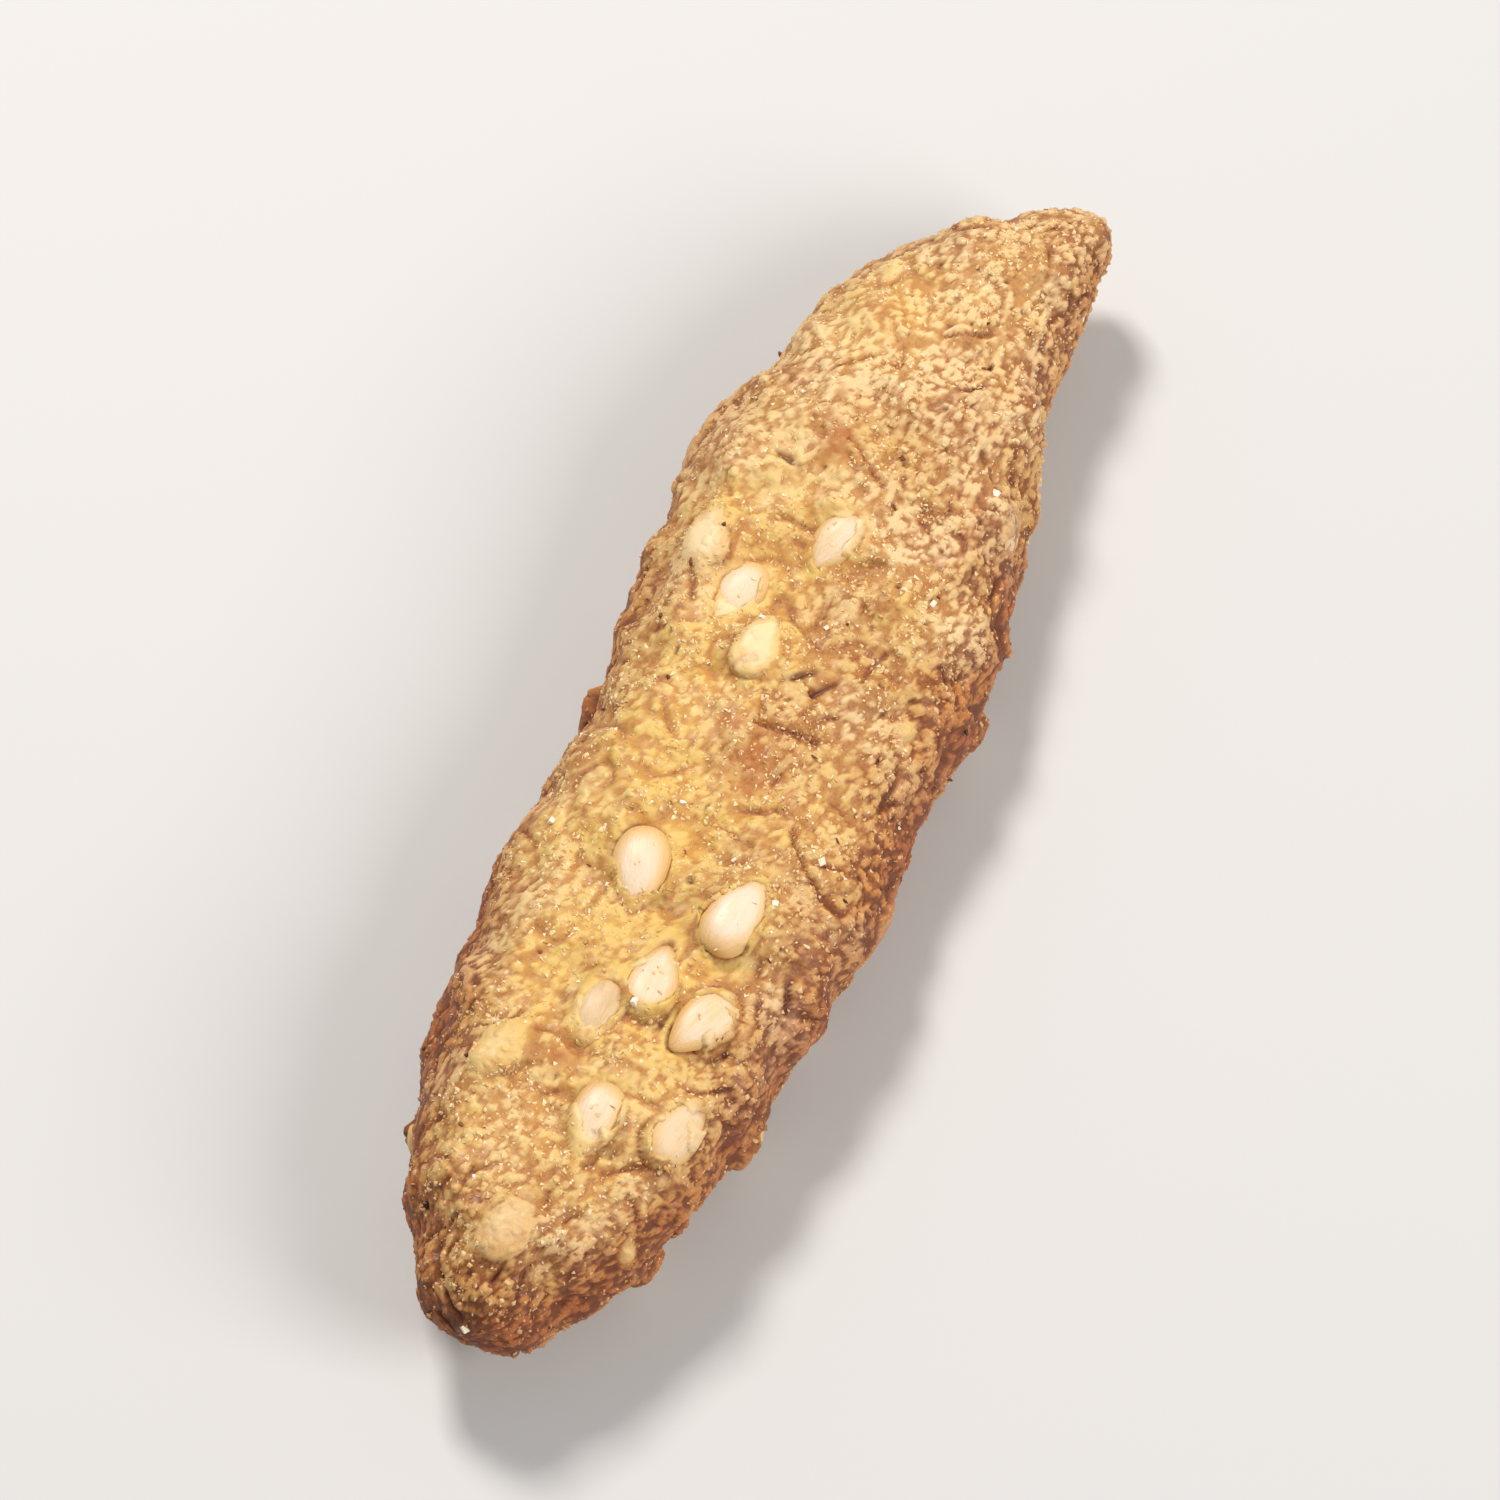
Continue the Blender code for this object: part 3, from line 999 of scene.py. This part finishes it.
    def stained(self, points: np.ndarray) -> np.ndarray:
        """How stained the crust is by scorched, oily spots.

        Args:
            points: The crust's points.

        Returns:
            From 0 to 0.8 for each point.
        """
        stain = np.zeros(len(points))
        for place_x, place_y, reach in self.stains:
            flat = np.array([place_x * MM, place_y * MM])
            distance = np.hypot(*(points[:, :2] - flat).T) / (reach * MM)
            stain = np.maximum(stain, np.exp(-distance**2 * 1.4) * (points[:, 2] > 3.5 * MM))
        spots = []
        for point in points:
            away, lot = cell_at(Vector(point) / (6.5 * MM) + Vector((1.7, 8.2, 4.4)), 12.9)
            spots.append(0.5 * math.exp(-(away / 0.13) ** 2) * lot)
        wobble = 0.85 + 0.7 * drift(points, 0.5 * MM)
        return np.clip(np.maximum(stain, spots) * wobble, 0.0, 0.8)

    def slit(self, points: np.ndarray) -> np.ndarray:
        """How deep the crust lies in the slits of the shown side.

        Args:
            points: The crust's points.

        Returns:
            From 0 to 1 for each point.
        """
        deep = np.zeros(len(points))
        for place_x, place_y, half, degrees in self.slits:
            turn = math.radians(degrees)
            x, y = points[:, 0] / MM - place_x, points[:, 1] / MM - place_y
            along = (x * math.cos(turn) + y * math.sin(turn)) / half
            across = (y * math.cos(turn) - x * math.sin(turn)) / self.slit_breadth
            deep = np.maximum(deep, np.exp(-along**4 - across**2) * (points[:, 2] > self.strip.bow))
        return deep

    def nib(self, points: np.ndarray) -> np.ndarray:
        """How far up the large cream crumbs the crust lies.

        Args:
            points: The crust's points.

        Returns:
            From 0 to 1 for each point.
        """
        raised = np.zeros(len(points))
        for place_x, place_y, reach in self.nibs:
            aside = np.hypot(points[:, 0] / MM - place_x, points[:, 1] / MM - place_y)
            aside += points[:, 2] < self.strip.bow
            middle = points[np.argmin(aside - 0.1 * points[:, 2] / MM)]
            distance = np.linalg.norm(points - middle, axis=1) / (reach * MM)
            raised = np.maximum(raised, np.exp(-distance**2 * 2.0))
        return raised

    def hollows(self, height: np.ndarray) -> np.ndarray:
        """How far each point lies below the crust round it; build paints the crust browner and towards the
        gap colour there, as painted shade.

        Args:
            height: How high the crust stands at each point, ring by ring, then the two tips.

        Returns:
            From 0 to 1 at the deepest dips, for each point.
        """
        inner = height[:-2].reshape(self.rings, -1)
        level = inner
        steps = range(-self.hollow_window, self.hollow_window + 1)
        for axis in (0, 1):
            level = sum(np.roll(level, step, axis) for step in steps) / len(steps)
        below = np.clip((level - inner) / self.hollow_depth, 0.0, 1.0)
        return np.append(below.ravel(), (0.0, 0.0))

    def build(self) -> Object:
        """Model the crust.

        Returns:
            The finished object, with its attributes stored on it.
        """
        turns = [0.5 * step / self.around_top for step in range(self.around_top)]
        turns += [0.5 + 0.5 * step / self.around_underside for step in range(self.around_underside)]
        bm = self.strip.loft(self.strip.even_angles(self.rings), turns)
        smooth_normals = np.array([tuple(vert.normal) for vert in bm.verts])
        smooth_points = [vert.co.copy() for vert in bm.verts]
        self.strip.swells(bm)
        self.strip.level(bm, self.floor_height)
        bm.normal_update()
        points = np.array([tuple(vert.co) for vert in bm.verts])
        normals = np.array([tuple(vert.normal) for vert in bm.verts])
        # noise_vector reads from places that Blender draws, so that draw is seeded here
        noise.seed_set(self.tearing_seed)
        crumbs = np.array([self.crumb(point) for point in smooth_points])
        marks = np.array([self.blemishes(point) for point in smooth_points])
        touch = self.seed_touch(points, normals)
        touch["calm"] *= 1.0 - 1.1 * np.minimum(self.puffed(points, smooth_normals), 0.45)

        highest = self.coarse_crumb[1] + self.fine_crumb[1]
        mean = highest * 0.3
        x = points[:, 0] / MM
        coarser = 1.0 + 0.45 * smoothstep(4.0, 14.0, x)
        height = ((crumbs[:, 0] - mean) * coarser + marks[:, 0]) * touch["calm"] + touch["rise"]
        pressed = smoothstep(0.25 * MM, 0.0, points[:, 2]) * (normals[:, 2] < -0.5)
        height -= pressed * (highest - mean) * 0.8
        nib, slit = self.nib(points), self.slit(points)
        height += nib * self.nib_height - slit * self.slit_depth
        # Where the crust dips below its neighbours, for painted shade
        hollow_shade = self.hollows(height) * (1.0 - nib) * (1.0 - touch["veiled"])
        moved = points + normals * height[:, None]
        moved[:, 2] = np.maximum(moved[:, 2], 0.0)
        mesh = bpy.data.meshes.new("crust")
        bm.to_mesh(mesh)
        bm.free()
        mesh.vertices.foreach_set("co", moved.ravel())
        mesh.update()
        mesh.shade_smooth()

        upright = 1.0 - smoothstep(0.1, 0.8, np.abs(smooth_normals[:, 2]))
        dust = smoothstep(2.0, 10.0, x) * 0.45 + 0.8 * drift(smooth_points, 2.6 * MM, (5.0, 5.0, 2.0))
        dust = np.clip(dust, 0.0, 0.6) * (1.0 - 0.85 * upright)
        # How much the paler crumb tops show, less on upright sides and at the blunt end: partly painted
        # highlight
        top_paleness_and_highlight = (0.8 + 0.2 * smoothstep(4.0, 12.0, x)) * (1.0 - 0.5 * upright)
        top_paleness_and_highlight *= 1.0 - 0.4 * smoothstep(-19.0, -23.0, x)
        clumps = np.clip(0.5 + 1.1 * drift(smooth_points, 1.3 * MM), 0.05, 1.0)
        open_crust = clumps * touch["bare"] * (1.0 - marks[:, 1]) * (points[:, 2] > 0.3 * MM)
        open_crust *= 1.0 - 0.6 * upright
        crumb = crumbs[:, 1] * touch["calm"] + 0.3 * (1.0 - touch["calm"])
        crumb += 0.2 * drift(smooth_points, 0.9 * MM, (2.0, 7.0, 4.0)) * (1.0 - touch["veiled"])
        for name, values in (
            # Browning, plus painted shade in the dips of the crust
            ("toast_and_shade", (self.browning_and_shade(points, smooth_normals, touch) + 0.36 * hollow_shade) * (1.0 - 0.8 * nib)),
            # Crumb for colour, lowered in creases and dips so they take the darker gap colour: painted shade
            ("crumb", np.clip(np.maximum(crumb, 0.7 * nib) - 0.5 * marks[:, 2] - 0.4 * hollow_shade, 0.0, 1.0)),
            ("top_paleness_and_highlight", top_paleness_and_highlight),
            ("dust", dust * touch["calm"]),
            ("film", touch["film"]),
            ("stain", self.stained(points)),
            # Pores and slits painted near-black: painted shade
            ("pore", np.maximum(marks[:, 1] * 0.75 * touch["calm"], 0.7 * slit)),
            ("grain_share", open_crust),
        ):
            set_attribute(mesh, name, values)
        return link_object("dough", mesh)


@dataclass
class SesameSeeds:
    """Every sesame seed, as one mesh of fine drops at the solid's own seats."""

    bed: SeedBed
    seats: list[Seat]
    along: int = 26
    around: int = 34
    wrinkle: tuple = (0.6 * MM, 0.045 * MM)
    bend: float = 0.08
    draw: int = 5
    stuck_share: float = 0.5
    browned: float = 0.2

    def drop(self, seat: Seat, bend: float) -> Iterator[tuple[list[Vector], float]]:
        """Rings of one seed, from its round end to its point.

        Args:
            seat: Where it lies.
            bend: How far its point swings aside, in seed widths.

        Yields:
            The points of a ring, and where the ring lies, from -1 to 1 at the point.
        """
        bed = self.bed
        for ring in range(self.along + 1):
            angle = math.pi * ring / self.along
            reach = -math.cos(angle)
            radius = 0.5 * math.sin(angle) * float(bed.seed_taper(reach)) * seat.size
            points = []
            for step in range(self.around if 0 < ring < self.along else 1):
                turn = 2.0 * math.pi * step / self.around
                up = math.copysign(abs(math.sin(turn)) ** bed.flatness, math.sin(turn))
                points.append(Vector((
                    reach * 0.5 * bed.length * seat.size,
                    radius * math.cos(turn) * bed.width + bend * bed.width * max(0.0, reach) ** 3,
                    radius * up * bed.thickness,
                )))
            yield points, reach

    def build(self) -> Object:
        """Model the seeds.

        Returns:
            The finished object, with its attributes stored on it.
        """
        bm = bmesh.new()
        looks, along_seed = [], []
        draw = random.Random(self.draw)
        size, high = self.wrinkle
        for number, seat in enumerate(self.seats):
            tone, bend = draw.random(), draw.uniform(-self.bend, self.bend) * (1.0 - seat.veil)
            rings = []
            for points, reach in self.drop(seat, bend):
                ring = []
                for step, point in enumerate(points):
                    placed = seat.place @ point
                    outward = (placed - seat.place.translation).normalized()
                    placed += outward * noise.noise(placed / size) * high * (1.0 - 0.8 * seat.veil)
                    placed.z = max(placed.z, 0.0)
                    ring.append(bm.verts.new(placed))
                    turn = 2.0 * math.pi * step / len(points)
                    plan_reach = math.hypot(reach, math.cos(turn) * math.sqrt(1.0 - reach**2))
                    rim = max(0.85 * float(smoothstep(0.45, 0.95, plan_reach)), 0.6 * seat.veil)
                    stuck = max(0.0, point.z / (self.bed.thickness * seat.size) - 0.15) * self.stuck_share
                    looks.append((0.8 * max(0.0, reach) ** 8, rim, tone, seat.dull, stuck, self.browned))
                    along_seed.append((
                        0.5 * reach + 3.7 * number, 1.3 * math.cos(turn), 1.3 * math.sin(turn),
                    ))
                rings.append(ring)
            for one, two in zip(rings, rings[1:]):
                for step in range(self.around):
                    after = (step + 1) % self.around
                    round_face = ((one, step), (two, step), (two, after), (one, after))
                    corners = [ring[place % len(ring)] for ring, place in round_face]
                    bm.faces.new(list(dict.fromkeys(corners)))
        bmesh.ops.recalc_face_normals(bm, faces=bm.faces)
        mesh = bpy.data.meshes.new("seeds")
        bm.to_mesh(mesh)
        bm.free()
        mesh.shade_smooth()
        names = ("tip", "rim", "tone", "dull", "grain_share", "toast_and_shade")
        for name, values in zip(names, np.array(looks).T):
            set_attribute(mesh, name, values)
        layer = mesh.attributes.new("along_seed", "FLOAT_VECTOR", "POINT")
        layer.data.foreach_set("vector", np.array(along_seed, np.float32).ravel())
        return link_object("sesame_seeds", mesh)


class GrainShape(Enum):
    """What one grain starts from, before it is made uneven: a node, and its inputs."""

    CRUMB = ("GeometryNodeMeshIcoSphere", {"Radius": 0.5, "Subdivisions": 1})
    MEAL = ("GeometryNodeMeshUVSphere", {"Radius": 0.5, "Segments": 4, "Rings": 2})
    CRYSTAL = ("GeometryNodeMeshCube", {})


@dataclass(frozen=True)
class Grains:
    """Grains of one kind, scattered over a piece by a geometry tree.

    Smallest and largest are the sides of a grain as shares of its size, density is in
    grains for each square metre, sink and uneven are shares of its size, and a tone
    power above 1 makes more of the grains light.
    """

    name: str
    slot: str
    finish: GrainFinish
    shape: GrainShape
    size: float
    spacing: float
    density: float
    seed: int
    smallest: tuple = (0.35, 0.35, 0.35)
    largest: tuple = (1.2, 1.0, 0.9)
    sink: float = 0.1
    uneven: float = 0.6
    tone_power: float = 1.2
    smooth: bool = False

    def inputs(self) -> dict[str, float]:
        """What the tree is told.

        Returns:
            Its inputs by name, with their values.
        """
        return {
            "Grain Size": self.size, "Spacing": self.spacing, "Density": self.density, "Sink": -self.sink,
            "Unevenness": self.uneven * self.size, "Tone Power": self.tone_power, "Seed": self.seed,
        }

    def tree(self) -> NodeTree:
        """Build the geometry tree that scatters the grains.

        Returns:
            The tree, with named inputs for its sizes.
        """
        tree = bpy.data.node_groups.new(self.name, "GeometryNodeTree")
        face = tree.interface
        face.new_socket("Geometry", in_out="INPUT", socket_type="NodeSocketGeometry")
        for name, value in self.inputs().items():
            kind = "NodeSocketInt" if isinstance(value, int) else "NodeSocketFloat"
            face.new_socket(name, in_out="INPUT", socket_type=kind)
        face.new_socket("Geometry", in_out="OUTPUT", socket_type="NodeSocketGeometry")
        given = add_node(tree, "NodeGroupInput").outputs
        share = add_node(tree, "GeometryNodeInputNamedAttribute", {
            "Name": "grain_share",
        }, data_type="FLOAT")
        spread = add_node(tree, "GeometryNodeDistributePointsOnFaces", {
            "Mesh": given["Geometry"], "Distance Min": given["Spacing"], "Density Max": given["Density"],
            "Density Factor": share, "Seed": given["Seed"],
        }, distribute_method="POISSON")
        depth = add_node(tree, "ShaderNodeMath", (given["Sink"], given["Grain Size"]), operation="MULTIPLY")
        below = add_node(tree, "ShaderNodeVectorMath", {
            0: spread.outputs["Normal"], "Scale": depth,
        }, operation="SCALE")
        sunk = add_node(tree, "GeometryNodeSetPosition", {"Geometry": spread, "Offset": below})
        grain = add_node(tree, *self.shape.value)
        stretch = add_node(tree, "FunctionNodeRandomValue", {
            "Min": self.smallest, "Max": self.largest, "Seed": 1,
        }, data_type="FLOAT_VECTOR")
        scale = add_node(tree, "ShaderNodeVectorMath", {
            0: stretch, "Scale": given["Grain Size"],
        }, operation="SCALE")
        tumble = add_node(tree, "FunctionNodeRandomValue", {
            "Min": (0.0, 0.0, 0.0), "Max": (6.28, 6.28, 6.28), "Seed": 2,
        }, data_type="FLOAT_VECTOR")
        placed = add_node(tree, "GeometryNodeInstanceOnPoints", {
            "Points": sunk, "Instance": grain, "Scale": scale,
            "Rotation": add_node(tree, "FunctionNodeEulerToRotation", {"Euler": tumble}),
        })
        lot = add_node(tree, "FunctionNodeRandomValue", {"Seed": 3}, data_type="FLOAT")
        toned = add_node(tree, "GeometryNodeStoreNamedAttribute", {
            "Geometry": placed, "Name": "tone",
            "Value": add_node(tree, "ShaderNodeMath", (lot, given["Tone Power"]), operation="POWER"),
        }, data_type="FLOAT", domain="INSTANCE")
        swirl = add_node(tree, "ShaderNodeTexNoise", {
            "Vector": add_node(tree, "GeometryNodeInputPosition"), "Scale": 2.2 / self.size, "Detail": 1.0,
        })
        centred = add_node(tree, "ShaderNodeVectorMath", (
            swirl.outputs["Color"], (0.5, 0.5, 0.5),
        ), operation="SUBTRACT")
        rough = add_node(tree, "GeometryNodeSetPosition", {
            "Geometry": add_node(tree, "GeometryNodeRealizeInstances", {"Geometry": toned}),
            "Offset": add_node(tree, "ShaderNodeVectorMath", {
                0: centred, "Scale": given["Unevenness"],
            }, operation="SCALE"),
        })
        shaded = add_node(tree, "GeometryNodeSetShadeSmooth", {
            "Geometry": rough, "Shade Smooth": self.smooth,
        })
        dressed = add_node(tree, "GeometryNodeSetMaterial", {
            "Geometry": shaded, "Material": self.finish.material(),
        })
        add_node(tree, "NodeGroupOutput", {"Geometry": dressed})
        return tree

    def build(self, carrier: Object) -> Object:
        """Scatter the grains over a piece.

        Args:
            carrier: The piece that carries them.

        Returns:
            The grains as one plain mesh.
        """
        ground = link_object(self.name + "_carrier", carrier.data.copy())
        scatter = ground.modifiers.new("scatter", "NODES")
        scatter.node_group = self.tree()
        values = self.inputs()
        for socket in scatter.node_group.interface.items_tree:
            if socket.in_out == "INPUT" and socket.name in values:
                scatter[socket.identifier] = values[socket.name]
        deps = bpy.context.evaluated_depsgraph_get()
        mesh = bpy.data.meshes.new_from_object(
            ground.evaluated_get(deps), preserve_all_data_layers=True, depsgraph=deps
        )
        bpy.data.objects.remove(ground)
        places = np.empty(len(mesh.vertices) * 3, np.float32)
        mesh.vertices.foreach_get("co", places)
        places[2::3] = np.maximum(places[2::3], 0.0)
        mesh.vertices.foreach_set("co", places)
        mesh.name = self.name
        return link_object(self.name, mesh)


@dataclass(frozen=True)
class Lamp:
    """A soft square lamp that looks at the stick.

    Its heading is in degrees from the right of the picture, anticlockwise, and its
    height in degrees above the table. Its power is in watts.
    """

    name: str
    heading: float
    height: float
    reach: float
    side: float
    power: float
    colour: str


@dataclass(frozen=True)
class Studio:
    """A pale table, soft light from the upper left, and the camera."""

    azimuth: float = -63.0
    elevation: float = 64.0
    distance: float = 330.0 * MM
    focal_length: float = 226.0
    sensor_width: float = 36.0
    clipping: tuple = (0.01, 10.0)
    target: tuple = (0.2 * MM, 0.0, 3.4 * MM)
    table_reach: float = 1.2
    sky: str = "#f6f3ee"
    sky_strength: float = 0.36
    lamps: tuple = (
        Lamp("key", 114.0, 54.0, 0.42, 0.09, 1.42, "#fff8f0"),
        Lamp("fill", -25.0, 36.0, 0.5, 0.25, 1.75, "#fffaf4"),
    )

    def camera(self) -> None:
        """Set the camera on the photograph's viewing direction."""
        azimuth, elevation = math.radians(self.azimuth), math.radians(self.elevation)
        back = Vector((
            math.sin(azimuth) * math.cos(elevation),
            -math.cos(azimuth) * math.cos(elevation),
            math.sin(elevation),
        ))
        lens = bpy.data.cameras.new("camera")
        lens.lens = self.focal_length
        lens.sensor_width = self.sensor_width
        lens.clip_start, lens.clip_end = self.clipping
        camera = link_object("camera", lens)
        camera.location = Vector(self.target) + back * self.distance
        camera.rotation_euler = (-back).to_track_quat("-Z", "Y").to_euler()
        bpy.context.scene.camera = camera

    def light(self, lamp: Lamp) -> None:
        """Add a lamp.

        Args:
            lamp: Its place, size and light.
        """
        azimuth, heading, height = (
            math.radians(angle) for angle in (self.azimuth, lamp.heading, lamp.height)
        )
        right = Vector((math.cos(azimuth), math.sin(azimuth), 0.0))
        away = Vector((-right.y, right.x, 0.0))
        flat = right * math.cos(heading) + away * math.sin(heading)
        towards = flat * math.cos(height) + Vector((0.0, 0.0, math.sin(height)))
        light = bpy.data.lights.new(lamp.name, "AREA")
        light.size = lamp.side
        light.energy = lamp.power
        light.color = linear(lamp.colour)[:3]
        thing = link_object(lamp.name, light)
        thing.location = towards * lamp.reach
        thing.rotation_euler = (-towards).to_track_quat("-Z", "Y").to_euler()

    def build(self) -> None:
        """Set up the camera, the lamps, the sky and the table."""
        self.camera()
        for lamp in self.lamps:
            self.light(lamp)
        world = bpy.data.worlds.new("sky")
        world.use_nodes = True
        feed(world.node_tree.nodes["Background"], {"Color": linear(self.sky), "Strength": self.sky_strength})
        bpy.context.scene.world = world
        bpy.context.scene.view_settings.view_transform = "Standard"
        bm = bmesh.new()
        bmesh.ops.create_grid(bm, x_segments=1, y_segments=1, size=self.table_reach)
        mesh = bpy.data.meshes.new("table")
        bm.to_mesh(mesh)
        bm.free()
        mesh.materials.append(PaleTable().material())
        table = link_object("table", mesh)


def attach(piece: Object, slot: str, replaces_node: bool = False) -> None:
    """Let a piece ride on the stick, and stand for the solid where it does.

    Args:
        piece: The finished piece.
        slot: The record's material slot; not used.
        replaces_node: Whether it takes the place of the solid.
    """
    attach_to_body(piece, BODY)
    if replaces_node:
        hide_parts(NODE)
    log.info("%s: %d points, %d faces", piece.name, len(piece.data.vertices), len(piece.data.polygons))


def main() -> None:
    """Build and dress the stick, then light it."""
    logging.basicConfig(level=logging.INFO, format="%(name)s %(message)s")
    strip = Strip()
    bed = SeedBed(strip)
    coarse, floor_height = strip.coarse_crust()
    seats = bed.seats(BVHTree.FromBMesh(coarse))
    coarse.free()
    log.info("seats: %d seeds", len(seats))

    dough = Dough(strip, bed, seats, floor_height).build()
    dough.data.materials.append(ToastedDough().material())
    attach(dough, "toasted_dough", replaces_node=True)

    seeds = SesameSeeds(bed, seats).build()
    seeds.data.materials.append(HulledSesame().material())
    attach(seeds, "sesame_seed", replaces_node=True)

    # Creamy crumb and meal, glassy salt and dark flecks of bran, to the eye
    crumb = GrainFinish("semolina_crumb_fried", "#f8e2b2", "#e2b066", "#c4834a", 0.42, clear=0.1)
    meal = GrainFinish("fine_wheat_meal_fried", "#f8e4b8", "#dca85e", "#bb7c48", 0.4, clear=0.1)
    salt = GrainFinish("table_salt_crystal", "#fffaf0", "#fbf0d8", "#f6e2c0", 0.12, ior=1.54, clear=0.3)
    bran = GrainFinish("wheat_bran_toasted", "#96552a", "#5a2c14", "#4a2210", 0.5)
    for carrier, grains in (
        (seeds, Grains(
            "seed_meal", "toasted_dough", meal, GrainShape.MEAL, 0.28 * MM, 0.12 * MM, 1.2e7, seed=7,
        )),
        (dough, Grains(
            "crumb_grains", "toasted_dough", crumb, GrainShape.CRUMB, 0.4 * MM, 0.14 * MM, 7.5e6, seed=3,
            smallest=(0.3, 0.3, 0.25), largest=(1.1, 0.9, 0.7), sink=0.25, uneven=0.7, tone_power=0.7,
            smooth=True,
        )),
        (dough, Grains(
            "meal_grains", "toasted_dough", meal, GrainShape.MEAL, 0.24 * MM, 0.06 * MM, 2.6e7, seed=6,
            sink=0.15,
        )),
        (dough, Grains(
            "salt_crystals", "salt_crystal", salt, GrainShape.CRYSTAL, 0.26 * MM, 2.2 * MM, 1.4e5, seed=8,
            largest=(1.2, 1.1, 1.0), uneven=0.25, tone_power=1.0,
        )),
        (dough, Grains(
            "bran_flecks", "dark_bran", bran, GrainShape.CRUMB, 0.4 * MM, 1.6 * MM, 1.5e5, seed=4,
            smallest=(0.6, 0.3, 0.15), largest=(1.2, 0.6, 0.35), sink=0.0, uneven=0.3, tone_power=1.0,
            smooth=True,
        )),
    ):
        attach(grains.build(carrier), grains.slot)

    Studio().build()


if __name__ == "__main__":
    main()
